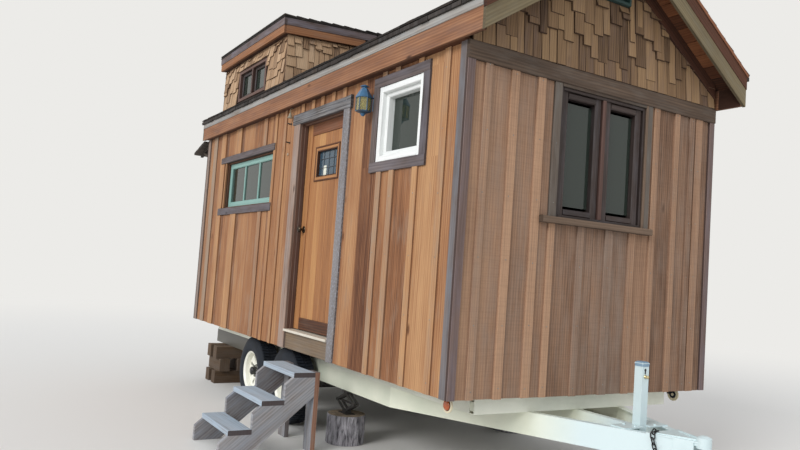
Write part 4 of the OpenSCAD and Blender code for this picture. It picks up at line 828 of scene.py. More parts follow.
# Boards on the gable walls under the rakes, dark red-brown: partly painted shade under the rake
for x, out in ((0, 1), (-body_l, -1)):
    for slope_row in slopes:
        raked(rake_bands, slope_row, out, x, 0, wall_h - 120, 120 * math.cos(pitch), 32, tone=0.3, grey=0.05)
for x, out in ((252, 1), (-body_l - 97, -1)):
    for slope_row in slopes:
        raked(edgings, slope_row, out, x, 88, fascia_top - 6, 24, 7, tone=0.6, grey=0.0, bevel=2)
edgings.build("rake_edge_strips", wood("orange_edge_strips", "#4a2d21", "#7d4f39", "#9c6b4c", weather=0.1),
              slot="rake_wood")
rakes.build("rake_lower_boards", wood("olive_tan_rake_boards", "#494033", "#776a51", "#948567",
                                      grey="#7c7869", weather=0.2),
            replaces=["rake_boards"], slot="rake_wood")
rake_bands.build("rake_upper_boards", wood("red_brown_rake_edge", "#2e1d18", "#583728", "#774c38",
                                           grey="#55463f", weather=0.1), slot="rake_wood")

dormer_lower, dormer_upper = Pieces(), Pieces()
front_h = dormer_h - 74 * dormer_slope
dormer_up = Vector((0, 1, dormer_slope)).normalized()
for pieces, foot, tall, proud, tone in ((dormer_lower, 0, 80, 0, .6), (dormer_upper, 79, 73, 6, .4)):
    look = {"tone": tone, "grey": 0.25, "bevel": 2.5}
    on_wall(pieces, "door", (dormer_x[0] - 45 - proud, dormer_x[1] + 45 + proud),
            (front_h + foot, front_h + foot + tall), (49, 74 + proud), **look)
    for x, out in ((dormer_x[0] - 20, -1), (dormer_x[1] + 20, 1)):
        pieces.out = (out, 0, 0)
        back = (dormer_h - wall_h + foot - roof_tv) / (slope - dormer_slope)
        plank(pieces, (x, -49, dormer_h - 49 * dormer_slope + foot), dormer_up, upwards, back + 49, tall,
              25 + proud, **look)
lower.build("eave_lower_boards", fascia_wood, replaces=["eave_fascias"], slot="fascia_wood")
upper.build("eave_upper_boards", upper_wood, slot="fascia_wood")
dormer_lower.build("dormer_lower_boards", wood("orange_dormer_fascia", "#4d3122", "#8f6040", "#b58460",
                                               grey="#786459", weather=0.12),
                   replaces=["dormer_fascia"], slot="fascia_wood")
dormer_upper.build("dormer_upper_boards", wood("mauve_brown_dormer_edge", "#3a2f2b", "#6a5a54", "#8b7b76",
                                               grey="#858390", weather=0.4), slot="fascia_wood")

# Roof shingles
# Sawn shingles, weathered nearly black, on a dark underlay. Butts line up in courses up each slope and the
# joints are broken; a line of shingle pairs caps the ridge.
dark_shingles = wood("blackened_shingles", "#1f1b1a", "#38312d", "#564b43", grey="#5d5a58", weather=0.25,
                     axes=(1, 0), knots=0.2, rough=0.9)
over_y, course, cover, underlay_t = 92, 132, 36, 13
longest, shortest, narrowest = 300, 30, 15
shingle_widths, shingle_t = (85, 190), 28


def shingle_courses(level, rise):
    """Courses up a slope between two limits: each course's number, and each shingle's ends in it."""
    for i in range(int(rise / course) + 1):
        at = level[0] + rng.uniform(-60, 0)
        while at < level[1] - narrowest:
            lo, wide = max(at, level[0]), rng.uniform(*shingle_widths)
            yield i, lo, min(at + wide, level[1])
            at += wide + 2


roof_x = (-body_l - 100, 255)
rise_run = (body_w / 2 + over_y) / math.cos(pitch)
shingle_rows, underlay = [], Pieces()
hatch = (dormer_x[0] - 46, dormer_x[1] + 46)
opening = (over_y / math.cos(pitch), (over_y + dormer_meets) / math.cos(pitch))
for wall_y, sign, up, normal, turn in slopes:
    eave = Vector((0, wall_y - sign * over_y, wall_h - over_y * slope + roof_tv))
    near = sign > 0
    spans = [(roof_x, (0, opening[0] - 5)), ((roof_x[0], hatch[0]), (opening[0] - 5, opening[1])),
             ((hatch[1], roof_x[1]), (opening[0] - 5, opening[1])), (roof_x, (opening[1], rise_run))
             ] if near else [(roof_x, (0, rise_run))]
    underlay.out = normal
    for level, climb in spans:
        plank(underlay, eave + Vector((level[0], 0, 0)) + up * climb[0] + normal, right, up,
              level[1] - level[0], climb[1] - climb[0], underlay_t, tone=0.5, grey=0.1)
    for i, lo, hi in shingle_courses(roof_x, rise_run):
        climb = i * course + rng.uniform(-5, 5) * (i > 0)
        long = min(longest, rise_run - climb)
        if near and hi > hatch[0] and lo < hatch[1]:
            if climb < opening[0] - 30:
                long = min(long, opening[0] - climb + 12)
            elif climb < opening[1] - 20:
                continue
        if hi - lo >= narrowest and long >= shortest:
            place = eave + Vector(((lo + hi) / 2, 0, 0)) + up * climb + normal * 8
            shingle_rows.append((tuple(place), turn,
                                 (hi - lo - 1.5, long, shingle_t * rng.uniform(0.85, 1.0))))
starters = Pieces()
for wall in sides:
    at = roof_x[0]
    while at < roof_x[1] - 5:
        wide = min(rng.uniform(*shingle_widths), roof_x[1] - at)
        on_wall(starters, wall, (at, at + wide - 2), (fascia_top - 30 + rng.uniform(-3, 3), fascia_top + 2),
                (84, 106 + rng.uniform(-3, 3)), False, tone=rng.uniform(0.1, 0.6), grey=0.3, bevel=3)
        at += wide
starters.build("starter_shingles", dark_shingles, slot="shingles")
cap_x, cap_w, cap_l = roof_x[0], 140, 118
ridge_z = roof_under(body_w / 2) + roof_tv + cover / math.cos(pitch)
while cap_x < roof_x[1] - 10:
    wide = min(cap_w, roof_x[1] - cap_x)
    for _, _, up, normal, turn in slopes:
        place = Vector((cap_x + wide / 2, body_w / 2, ridge_z)) - up * cap_l - normal * 20
        shingle_rows.append((tuple(place), turn, (wide - 3, cap_l, 27)))
    cap_x += wide
laid("roof_shingles", shingle_rows, shake_shape, dark_shingles, ["near_shingles", "far_shingles"],
     sway=0.006, darkest=0.15, lightest=0.85, seed=11)

dormer_rows = []
lift = Vector((0, 0, dormer_h + 152))
level, dormer_over = (dormer_x[0] - 55, dormer_x[1] + 55), 84
underlay.out = Vector((0, -dormer_slope, 1)).normalized()
plank(underlay, lift + Vector((level[0], -dormer_over, -dormer_over * dormer_slope + 0.5)), right, dormer_up,
      level[1] - level[0], dormer_over + dormer_meets - 10, underlay_t, tone=0.5, grey=0.1)
for i, lo, hi in shingle_courses(level, dormer_over + dormer_meets):
    y = i * course - dormer_over
    long = min(longest, dormer_meets + 40 - y)
    if hi - lo >= narrowest and long >= shortest:
        place = lift + Vector(((lo + hi) / 2, y, y * dormer_slope + 8))
        dormer_rows.append((tuple(place), (math.atan(dormer_slope), 0, 0), (hi - lo - 1.5, long, shingle_t)))
laid("dormer_roof_shingles", dormer_rows, shake_shape, dark_shingles, ["dormer_shingles"],
     sway=0.006, darkest=0.15, lightest=0.85, seed=12)
underlay.build("roof_underlay", wood("dark_underlay", "#1a1716", "#231f1d", "#2d2825", knots=0.0, rough=0.9),
               slot="shingles")
bpy.data.objects.remove(shake_shape)


# Side windows
# Pine joinery, mortised and glazed from outside: white paint on the window by the door, dusty teal on the
# long one, whose two glazing bars part it into three panes. The far wall has the same pair.
def framed(pieces, wall, level, height, width, depth, **look):
    """Boards of one width round a rectangle: stiles over its whole height and rails between them."""
    for lo in (level[0], level[1] - width):
        on_wall(pieces, wall, (lo, lo + width), height, depth, **look)
    for lo in (height[0], height[1] - width):
        on_wall(pieces, wall, (level[0] + width, level[1] - width), (lo, lo + width), depth, **look)


# Brushed oil paint: nearly even, with a cool blue-grey in its darker streaks and on its narrow faces that is
# painted shade, and the brush's lines along each member
white_paint = wood("white_painted_pine", "#d3dbda", "#f1f3f1", "#fdfdfc", grey="#cfd8d4", weather=0.0,
                   knots=0.0, streaks=0.25, rough=0.4, contrast=0.4, dirt_and_shade=0.12)
teal_paint = wood("dusty_teal_painted_pine", "#5f8781", "#8bb2aa", "#abcdc5", grey="#9cb3aa", weather=0.1,
                  knots=0.0, streaks=0.3, rough=0.5, contrast=0.5, dirt_and_shade=0.3)
lining_wood = wood("brown_window_linings", "#3d2a20", "#6b4631", "#8d6245", grey="#6f6259", weather=0.15)
white_joinery, teal_joinery, linings = Pieces(), Pieces(), Pieces()
for wall in sides:
    framed(white_joinery, wall, (-1085, -482), (1561, 2132), 46, (-110, 14), tone=0.6, grey=0.0, bevel=4)
    framed(white_joinery, wall, (-1039, -528), (1607, 2086), 34, (-96, -20), tone=0.5, grey=0.0, bevel=7)
    framed(linings, wall, (-4615, -3163), (1350, 1880), 14, (-110, -10), tone=0.45, grey=0.2)
    framed(teal_joinery, wall, (-4601, -3177), (1364, 1866), 58, (-76, -34), tone=0.5, grey=0.1, bevel=6)
    for lo in (-4118, -3682):
        on_wall(teal_joinery, wall, (lo, lo + 22), (1422, 1808), (-68, -38), tone=0.55, grey=0.1, bevel=7)
white_joinery.build("white_window_joinery", white_paint, replaces=["white_windows"], slot="white_paint")
teal_joinery.build("teal_window_joinery", teal_paint, replaces=["green_windows"], slot="green_paint")
linings.build("window_linings", lining_wood, slot="dark_trim")

# End windows and dormer window
# Paired casements of a dark stained hardwood on either side of a post that has kept more of its red. The
# dormer has a low pair of the same, set in a frame of the post's wood.
dark_stain = wood("dark_stained_casements", "#1f1816", "#3b302d", "#5c4d48", grey="#5c5a5f", weather=0.2,
                  knots=0.0, streaks=0.5, rough=0.5)
post_stain = wood("mauve_brown_window_posts", "#2c1f1c", "#543c35", "#785a50", grey="#6a5d57", weather=0.1,
                  rough=0.55)
casements, posts = Pieces(), Pieces()
stile_w, rail_h, sash_z, sash_out = 62, 44, (1222, 2078), (-60, -4)
for wall in gables:
    framed(casements, wall, (790, 1645), (1200, 2100), 22, (-110, 12), tone=0.45, grey=0.1, bevel=3)
    on_wall(posts, wall, (1199.5, 1235.5), sash_z, (-110, 12), tone=0.6, grey=0.1, bevel=4)
    for low, high, tone in ((812, 1199.5, .45), (1235.5, 1623, .6)):
        for lo in (low, high - stile_w):
            on_wall(casements, wall, (lo, lo + stile_w), sash_z, sash_out, tone=tone, grey=0.2, bevel=8)
        for foot in (sash_z[0], sash_z[1] - rail_h):
            on_wall(casements, wall, (low + stile_w, high - stile_w), (foot, foot + rail_h), sash_out,
                    tone=tone, grey=0.2, bevel=8)
framed(posts, "door", (-4425, -3585), (2572, 2926), 34, (-92, 14), tone=0.75, grey=0.3, bevel=4)
on_wall(posts, "door", (-4020, -3990), (2606, 2892), (-92, 14), tone=0.5, grey=0.2, bevel=4)
for level in ((-4391, -4020), (-3990, -3619)):
    framed(casements, "door", level, (2606, 2892), 34, (-56, -16), tone=0.4, grey=0.2, bevel=6)
casements.build("dark_casements", dark_stain, replaces=["end_windows", "dormer_window"], slot="dark_sash")
posts.build("casement_posts", post_stain, slot="dark_sash")


# Window glass
# Drawn sheet glass, 6 mm thick, bedded in the sashes, with the slow ripple of old panes. It is tinted a dark
# grey-green, painted shade that keeps the rooms behind dark.
def sheet_glass(name, tint, clear, ripple_mm, ripple):
    """Glass with a tint: clear is the share of light that passes, ripple the height of its waves in mm."""
    material, tree, shader = new_material(name)
    wave = add(tree, "TexNoise", {"Vector": add(tree, "TexCoord").outputs["Object"],
                                  "Scale": per_metre / ripple_mm, "Detail": 2.0})
    bump = add(tree, "Bump", {"Height": wave, "Strength": 1.0, "Distance": ripple * mm})
    feed(shader, {"Base Color": tint, "Roughness": 0.04, "IOR": 1.5, "Transmission Weight": clear,
                  "Normal": bump})
    return material


finish_nodes(sheet_glass("drawn_sheet_glass", "#3c463f", 0.45, 400, 0.12), "window_glass")

# Gable vents
# Louvres of pressed steel in a flanged frame, screwed over a hole in each gable and painted a dark teal
# that has gone matt.
finish_nodes(painted_steel("matt_teal_vent_paint", "#2b423f", "#3a5450", "#6a5546", 0.03, 0.65),
             "gable_vents")

# Doorway
# Jambs and head lined with red-brown cedar, stops nailed inside, and reclaimed barn boards round them. The
# left casing keeps its live edge, the right one is crusted with lichen and old whitewash.
jamb_x, head_z, sill_z = (-2529, -1662), 2056, (150, 172)
lining, stop, frame_out, stop_out = 25, 12, (-120, 0), (-57, -27)
boarded(Pieces(), ["door"], [
    ((jamb_x[0] - lining, jamb_x[0]), (sill_z[1], head_z + lining), frame_out, .45, .2),
    ((jamb_x[1], jamb_x[1] + lining), (sill_z[1], head_z + lining), frame_out, .45, .2),
    (jamb_x, (head_z, head_z + lining), frame_out, .4, .1),
    ((jamb_x[0], jamb_x[0] + stop), (sill_z[1], head_z), stop_out, .3, .3),
    ((jamb_x[1] - stop, jamb_x[1]), (sill_z[1], head_z), stop_out, .3, .3),
    ((jamb_x[0] + stop, jamb_x[1] - stop), (head_z - stop, head_z), stop_out, .5, .1),
]).build("door_jambs", wood("red_brown_door_lining", "#48322a", "#7a5c4d", "#9b7a67", grey="#786b66",
                            weather=0.15, knots=0.4), replaces=["door_frame"], slot="dark_trim")
boarded(Pieces(), ["door"], [
    ((-2683, -1525), (head_z, head_z + 100), (0, 32), .35, .35, {"wave": 4.0, "skew": (0.08, 0.0)}),
], bevel=4).build("door_head_board", wood("silvered_barn_boards", "#2f2b2b", "#75706e", "#a39e9c",
                                          grey="#84878d", weather=0.3, knots=0.9, streaks=1.2,
                                          contrast=1.7), slot="dark_trim")
boarded(Pieces(), ["door"], [
    ((-2663, -2535), (0, head_z), (0, trim_t), .5, .3, {"wave": 7.0, "wave_sides": (1,)}),
], bevel=4).build("live_edged_casing", wood("mauve_brown_barn_board", "#4f3d34", "#9a7e6e", "#bba28f",
                                            grey="#9b9796", weather=0.3, knots=0.9, streaks=1.0,
                                            contrast=1.3),
                  slot="dark_trim")
# Grey board with thin pale crusts a few centimetres long: reads as blue-grey with faint white flecks
lichen_wood = wood("lichen_crusted_board", "#3f3e45", "#716e72", "#96949a", grey="#8d8681", weather=0.35,
                   knots=0.3, streaks=1.0, contrast=1.3, crust=("#9fa3ac", 14))
boarded(Pieces(), ["door"], [((-1656, -1550), (0, head_z), (0, trim_t), .5, .5)], wave=5.0, bevel=4
        ).build("lichen_casing_board", lichen_wood, slot="dark_trim")

# A planed sill worn pale by feet, over a tan-grey apron board
boarded(Pieces(), ["door"], [(jamb_x, sill_z, (-120, 34), .6, .1)], bevel=5).build(
    "door_sill_board", wood("foot_worn_sill", "#a39680", "#dcd3c4", "#efe9dd", grey="#cfc8bc", weather=0.1,
                            dirt_and_shade=0.3, knots=0.2, rough=0.6), replaces=["door_sill"], slot="sill_wood")
boarded(Pieces(), ["door"], [
    ((jamb_x[0] - lining, jamb_x[1] + lining), (0, sill_z[0]), (-20, 2), .5, .3)]).build(
    "sill_apron", wood("tan_grey_apron", "#564638", "#7f6b56", "#9c8870", grey="#7f776e", weather=0.3),
    slot="sill_wood")

# Door
# Seven cedar planks with eased joints, clinched to rails and stiles that stand 9 mm proud, oiled orange;
# the rails and the frame of its small light took more stain. It hangs on three butt hinges at the right.
leaf_x, leaf_z, frame_w = (-2522, -1667), (180, 2049), 105
light_x, light_z = (-2294.5, -1894.5), (1550, 1790)
door_cedar = wood("oiled_cedar_door", "#6b4228", "#a97449", "#c79661", grey="#8f7a62", weather=0.06,
                  knots=0.4, streaks=0.9, rough=0.6)
leaf, plank_w = Pieces(), (leaf_x[1] - leaf_x[0]) / 7
for i, tone in enumerate((.5, .62, .75, .45, .35, .5, .4)):
    lo = leaf_x[0] + i * plank_w
    clad(leaf, "door", (lo, lo + plank_w), leaf_z, (-117, -72), [light_x + light_z], tone=tone, grey=0.1,
         bevel=4)
for lo, tone in ((leaf_x[0], .5), (leaf_x[1] - frame_w, .45)):
    on_wall(leaf, "door", (lo, lo + frame_w), leaf_z, (-73, -63), tone=tone, grey=0.1, bevel=3)
leaf.build("door_planks", door_cedar, "door", ["door_leaf"], "door_wood")
rails, stop_beads = Pieces(), Pieces()
for foot, tone in ((leaf_z[1] - frame_w, .55), (leaf_z[0], .2)):
    on_wall(rails, "door", (leaf_x[0] + frame_w, leaf_x[1] - frame_w), (foot, foot + frame_w), (-73, -63),
            tone=tone, grey=0.2)


def round_light(pieces, outside, width, depth, **look):
    """Beads round the door's light, so far outside its edge."""
    framed(pieces, "door", (light_x[0] - outside, light_x[1] + outside),
           (light_z[0] - outside, light_z[1] + outside), width, depth, **look)


round_light(rails, 38, 13, (-73, -62), tone=0.2, grey=0.1, bevel=3)
round_light(rails, 0, 9, (-94, -66), tone=0.05, grey=0.0)
round_light(stop_beads, 25, 25, (-73, -66), tone=0.6, grey=0.1, bevel=3)
stop_beads.build("door_light_beads", door_cedar, "door", slot="door_wood")
rails.build("door_rails", wood("stained_door_rails", "#42281b", "#7b4c31", "#98664a", grey="#6c584c",
                               weather=0.12, knots=0.2, rough=0.6), "door", slot="door_wood")

hinge_leaves = Pieces(inward)
for z in (leaf_z[0] + 180, sum(leaf_z) / 2, leaf_z[1] - 180):
    turned(hinge_leaves, (-1665.5, 127, z), upwards, [(-16, 4.2), (-16, 6), (-15.5, 6.5), (15.5, 6.5),
                                                      (16, 6), (16, 4.2)], 20)
    plank(hinge_leaves, (-1710.5, 117, z - 16), upwards, right, 32, 40, 3)
hinge_leaves.build("hinge_leaves", black_enamel, "door", slot="iron")
finish_nodes(black_enamel, "door_hinges")

# The light is bluish cathedral glass in lead: twelve quarries, one of them left clear and made pale white, a
# painted reflection
finish_nodes(sheet_glass("hammered_blue_glass", "#4a6273", 0.4, 26, 0.5), "door_glass")
leading = Pieces()
came_w, came_edge, quarry_w, quarry_h = 6, 9, 100, 80
for i in (1, 2, 3):
    lo = light_x[0] + quarry_w * i - came_w / 2
    on_wall(leading, "door", (lo, lo + came_w), (light_z[0] + came_edge, light_z[1] - came_edge), (-92, -87),
            bevel=2)
for i in (1, 2):
    lo = light_z[0] + quarry_h * i - came_w / 2
    on_wall(leading, "door", (light_x[0] + came_edge, light_x[1] - came_edge), (lo, lo + came_w),
            (-92, -87.5), bevel=2)
leading.build("door_light_leading", painted_steel("dull_lead_came", "#4b4f54", "#6a6f74", "#83837f", 0.03,
                                                  0.55, 0.8), "door", slot="iron")
# The clear quarry as pale white glass: painted reflection
clear_pane = Pieces()
on_wall(clear_pane, "door", (light_x[0] + 103, light_x[0] + 157), (light_z[0] + 12, light_z[0] + 100),
        (-92, -88.5), bevel=1)
clear_pane.build("pale_quarry", sheet_glass("pale_reflection_glass", "#e9ead9", 0.1, 15, 0.8), "door",
                 slot="glass")

# Cast bronze knob gone nearly black, rubbed bright on its crown
finish_nodes(painted_steel("rubbed_dark_bronze", "#3b332c", "#6b5b47", "#2a2420", 0.05, 0.28, 1.0),
             "door_knob")

# Wall lantern
# Six-sided, of folded copper sheet gone blue-grey, soldered at the posts, with clear panes round a bulb. It
# hangs from an arm on a back plate screwed to the siding.
lamp_foot = Vector((-1185, -95, 1915))
# One blue patina in two copies: this light one on the roof, knob, arm and plate paints the light on the roof
lit_patina = painted_steel("lit_blue_patina_copper", "#2c5272", "#669cc8", "#1f303c", 0.1, 0.34, 0.35)


def rod(pieces, points, radius, steps=10):
    """A round bar bent through points, closed at both ends."""
    points = [Vector(p) for p in points]
    side = (points[1] - points[0]).orthogonal().normalized()
    co = []
    for i, point in enumerate(points):
        ahead = (points[min(i + 1, len(points) - 1)] - points[max(i - 1, 0)]).normalized()
        side = (side - ahead * side.dot(ahead)).normalized()
        other = ahead.cross(side)
        co += [tuple(point + (side * math.cos(a) + other * math.sin(a)) * radius)
               for a in (2 * math.pi * k / steps for k in range(steps))]
    pieces.take(co, tube(len(points), steps) + caps(len(points), steps))


lantern, cage, panes, bulb = Pieces(), Pieces(), Pieces(), Pieces()
sixth = -math.pi / 4
turned(lantern, lamp_foot, upwards, [(0, 4), (1, 9), (6, 14), (11, 16), (15, 21), (18, 21)], 24)
turned(lantern, lamp_foot, upwards, [(140, 56), (140, 65), (143, 66), (158, 59), (182, 45), (203, 32),
                                     (214, 27), (216, 22)], 6, sixth)
turned(lantern, lamp_foot, upwards, [(214, 14), (215, 18), (225, 18), (225, 30), (227, 34), (230, 33),
                                     (237, 22), (242, 10), (243, 3)], 24)
for outline in ([(17, 18), (23, 24), (31, 42), (32, 54), (34, 62), (40, 62), (40, 56)],
                [(31, 14), (42, 14), (43, 6), (43, 0.5)]):
    turned(cage, lamp_foot, upwards, outline, 6, sixth)
for x, y in polygon(6, 1):
    post = lamp_foot + Vector((x, y, 0)) * 57
    rod(cage, [post + Vector((0, 0, h)) for h in (38, 142)], 4.5, 6)
on_wall(lantern, "door", (-1205, -1165), (1970, 2100), (0, 8), bevel=2.5)
rod(lantern, [(-1185, -6, 2067), (-1185, -45, 2072), (-1185, -75, 2067)], 6)
turned(panes, lamp_foot, upwards, [(39, 55), (141, 55), (141, 52), (39, 52)], 6, sixth, ring=True)
turned(bulb, lamp_foot, upwards, [(42, 9), (58, 9), (61, 12), (76, 21), (89, 22), (99, 16), (104, 6),
                                  (105, 1)], 24)
lantern.build("lantern_frame", lit_patina, replaces=["wall_lantern"], slot="lantern_metal")
# The dark copy of the same patina on the tray and posts: painted shade
cage.build("lantern_cage", painted_steel("shaded_blue_patina_copper", "#1d3547", "#46718f", "#16222c", 0.1, 0.34),
           slot="lantern_metal")
panes.build("lantern_panes", sheet_glass("lantern_panes_glass", "#cfc98f", 0.75, 40, 0.3), slot="glass")
bulb.build("lantern_bulb", sheet_glass("frosted_bulb_glass", "#f6e7b4", 0.05, 12, 0.2), smooth=True)

# Bell and pegs
# A little cast bell under the eave and two iron pegs and a shell below it, screwed to the boards left of
# the door.
bell, pegs, shell = Pieces(), Pieces(), Pieces()
turned(bell, (-2745, -40, 2140), upwards, [(0, 22), (0, 27), (5, 26), (16, 18), (34, 13), (46, 9), (52, 4),
                                           (56, 3)], 28)
rod(bell, [(-2745, -40, 2194), (-2745, -40, 2226), (-2745, -34, 2232), (-2745, -4, 2232)], 3)
bell.build("eave_bell", painted_steel("verdigris_bell_bronze", "#7c7565", "#a39a86", "#4a4a38", 0.08, 0.5),
           smooth=True)
for x, z in ((-2778, 2090), (-2784, 1912)):
    turned(pegs, (x, 0, z), walls["door"][2], [(2, 10), (9, 10), (11, 6)], 20)
    rod(pegs, [(x, -8, z), (x, -30, z - 1), (x, -46, z + 4)], 6.5)
pegs.build("iron_pegs", black_steel)
turned(shell, (-2800, 0, 1800), walls["door"][2], [(0, 10), (7, 15), (14, 14), (19, 8), (21, 1)], 20)
shell.build("pale_shell", painted_steel("limewashed_shell", "#b09c86", "#8f7b67", "#5d4b3b", 0.1, 0.6),
            smooth=True)

# Rear hood
# Four lapped cedar boards over the rear window, nailed across four brackets of post, rafter and strut, and
# toned almost black.
hood_fall = Vector((-420, 0, -110))
hood = Pieces(Vector((-110, 0, 420)).normalized())
for i in range(4):
    foot = Vector((-body_l - 30, -75, 2203)) + hood_fall * (i / 4)
    plank(hood, foot, inward, hood_fall, body_w + 150, hood_fall.length / 4 + (6 if i < 3 else 0),
          28 + 2 * (i % 2), tone=rng.uniform(0.3, 0.7), grey=0.3, bevel=3)
hood.out = inward
for y in (0, 800, 1600, 2400):
    plank(hood, (-body_l - 30, y, 1998), upwards, (-1, 0, 0), 204, 40, 40, tone=0.5)
    plank(hood, (-body_l - 40, y + 3, 2170), hood_fall, upwards, 396, 34, 34, tone=0.4)
    plank(hood, (-body_l - 60, y + 6, 2020), (-290, 0, 92), upwards, 292, 34, 28, tone=0.6)
hood.build("rear_hood_boards", wood("blackened_hood_boards", "#241f1c", "#40372f", "#5c5046", grey="#5a5652",
                                    weather=0.3), replaces=["rear_hood"], slot="prop_timber")

# Marker lamps
# Moulded lamps on steel brackets under the front corners: a cream body, a black rubber ring and a domed
# lens, amber at the door side and clear at the far side.
lamp_cream = painted_steel("cream_moulded_lamp", "#eee3c6", "#dccfae", "#8a7a5c", 0.0, 0.35)
lamps, gaskets, brackets = Pieces(), Pieces(), Pieces()
for name, y, out, lens, tint in (("near", 121, -1, "amber_acrylic_lens", "#b0531f"),
                                 ("far", body_w - 121, 1, "clear_acrylic_lens", "#e6ead9")):
    acrylic = painted_steel(lens, tint, tint, "#4a3020", 0.0, 0.12)
    feed(acrylic.node_tree.nodes["Principled BSDF"], {"Coat Weight": 0.6})
    middle = (-150, y, -60)
    turned(lamps, middle, (0, out, 0), [(0, 44), (0, 49), (3, 50), (9, 50), (12, 48), (12.5, 44)], 40)
    turned(lamps, middle, (0, -out, 0), [(0, 12), (4, 12), (7, 9), (8, 0.5)], 24)
    turned(gaskets, middle, (0, -out, 0), [(0, 29), (4, 28.5), (6, 25), (6, 16), (4, 13), (0, 12.5)], 40,
           ring=True)
    turned(gaskets, middle, (0, out, 0), [(11, 37), (14, 37), (15, 35), (14, 32), (11, 32)], 40, ring=True)
    glass = Pieces()
    turned(glass, middle, (0, out, 0), [(12, 34), (17, 33.5), (22, 28), (25, 18), (26, 8), (26, 0.5)], 40)
    glass.build(name + "_marker_lens", acrylic, slot="lamp_plastic", smooth=True)
    brackets.out = (0, -out, 0)
    plank(brackets, (-204, y, -62), upwards, right, 62, 28, 4, bevel=1)
    plank(brackets, (-186, y, -24), right, upwards, 40, 20, 4, bevel=1)
lamps.build("marker_lamp_bodies", lamp_cream, replaces=["marker_lamps"], slot="lamp_plastic")
gaskets.build("marker_lamp_rings", rubber, smooth=True)
brackets.build("marker_lamp_brackets", black_enamel)

# Tongue jack and coupler
# The jack's square tube drops through the tongue; a keyed lock sits near its top, and hex bolts hold it.
# The safety chain runs from the coupler's root over the rail and back under the nose.
jack_x, jack_y = 435, body_w / 2
lock, pin, cap, link, hex_head = Pieces(right), Pieces(), Pieces(), Pieces(), Pieces()
turned(lock, (jack_x + 30, jack_y - 4, 240), right, [(0, 9), (2.5, 9), (3, 8), (3, 0.5)], 24)
plank(lock, (jack_x + 31, jack_y - 9, 214), upwards, inward, 24, 10, 2, bevel=0.5)
lock.build("jack_keyhole", black_enamel)
turned(pin, (jack_x + 30, jack_y - 3, 197), right, [(0, 12), (6, 12), (8, 8), (16, 8), (18, 10), (24, 10),
                                                    (26, 6)], 24)
pin.build("jack_brass_pin", painted_steel("worn_brass", "#c4ad7a", "#ddd0a8", "#6b5230", 0.05, 0.3, 1.0),
          smooth=True)
# A pressed cap of galvanised sheet, blue-grey, slipped over the tube's top
half, eased = 33.5, 33.5 * .86
outline = [(half, eased), (eased, half), (-eased, half), (-half, eased), (-half, -eased), (-eased, -half),
           (eased, -half), (half, -eased)]
for low, high, share in ((262, 280, 1.0), (280, 286, 0.97), (286, 291, 0.88), (291, 293, 0.7)):
    prism(cap, [(jack_x + x * share, jack_y + y * share) for x, y in outline], low, high)
cap.build("jack_cap", painted_steel("galvanised_cap", "#6f8da6", "#93abbc", "#6b7680", 0.05, 0.35))

# A chain link: a wire 8 mm thick bent into a loop of two half circles
bends, wire_r = 14, 4
loop = [Vector((s * (10 + 12.5 * math.cos(a)), 12.5 * math.sin(a) * s, 0)) for s in (1, -1)
        for a in [math.radians(d) for d in range(-90, 91, 30)]]
wire = []
for i, point in enumerate(loop):
    flat = (loop[(i + 1) % bends] - loop[i - 1]).normalized().cross(Vector(upwards))
    wire += [tuple(point + flat * wire_r * x + Vector(upwards) * wire_r * y) for x, y in polygon(6, 1)]
link.take(wire, [[a, d, c, b] for a, b, c, d in tube(bends, 6, closed=True)])
chain_link = template("chain_link", link)
hang = [Vector(p) for p in ((642, 1125, -104), (650, 1096, -101), (655, 1074, -112), (664, 1067, -150),
                            (676, 1069, -190), (691, 1078, -235), (708, 1090, -280), (729, 1102, -316),
                            (752, 1113, -332), (775, 1124, -316), (791, 1134, -274), (800, 1141, -224))]
link_pitch, full_size = 33, (per_metre, per_metre, per_metre)
reach = np.cumsum([0] + [(b - a).length for a, b in zip(hang, hang[1:])])
places = []
for i in range(int(reach[-1] / link_pitch)):
    spot, ahead = (Vector([float(np.interp(link_pitch * i + d, reach, [p[axis] for p in hang]))
                           for axis in range(3)]) for d in (0, 12))
    roll = Matrix.Rotation(math.pi / 2 * (i % 2) + 0.5, 3, "X").to_quaternion()
    turn = (ahead - spot).to_track_quat("X", "Z") @ roll
    places.append((tuple(spot), tuple(turn.to_euler()), full_size))
laid("safety_chain", places, chain_link, painted_steel("dark_oiled_chain", "#2b2a2c", "#4b4746", "#5f4a3c",
                                                       0.05, 0.4, 0.8))
prism(hex_head, polygon(6, 9), 0.5, 8)
prism(hex_head, polygon(12, 12), -1, 1.5)
hex_bolt = template("hex_bolt", hex_head)
laid("tongue_bolts", [((jack_x + dx, jack_y + dy, -112), (0.0, 0.0, 0.4), full_size) for dx in (-45, 45)
                      for dy in (-95, 95)], hex_bolt, white_enamel)
for shape in (chain_link, hex_bolt):
    bpy.data.objects.remove(shape)

# Props
# Sawn log rounds, bark on, under the scissor jacks at the front, and crossed timbers stacked in three
# layers under the rear corners. They lie loose and hold by the weight on them.
prop_y = (315.5, body_w - 315.5)
# Deep grey-brown furrows that run up the log, with paler ridges
bark, tree, shader = new_material("furrowed_bark")
place = add(tree, "TexCoord").outputs["Object"]
tall = add(tree, "VectorMath", {0: place, 1: (32.0, 32.0, 7.0)}, operation="MULTIPLY")
furrow = add(tree, "TexNoise", {"Vector": tall, "Scale": 1.0, "Detail": 5.0, "Roughness": 0.65,
                                "Distortion": 0.6})
shade = add(tree, "ValToRGB", {"Fac": furrow}, [(0.36, "#434146"), (0.52, "#8e8b90"), (0.7, "#c0bdc2")])
bump = add(tree, "Bump", {"Height": furrow, "Strength": 0.9, "Distance": 0.012})
feed(shader, {"Base Color": shade, "Roughness": 0.9, "Normal": bump})
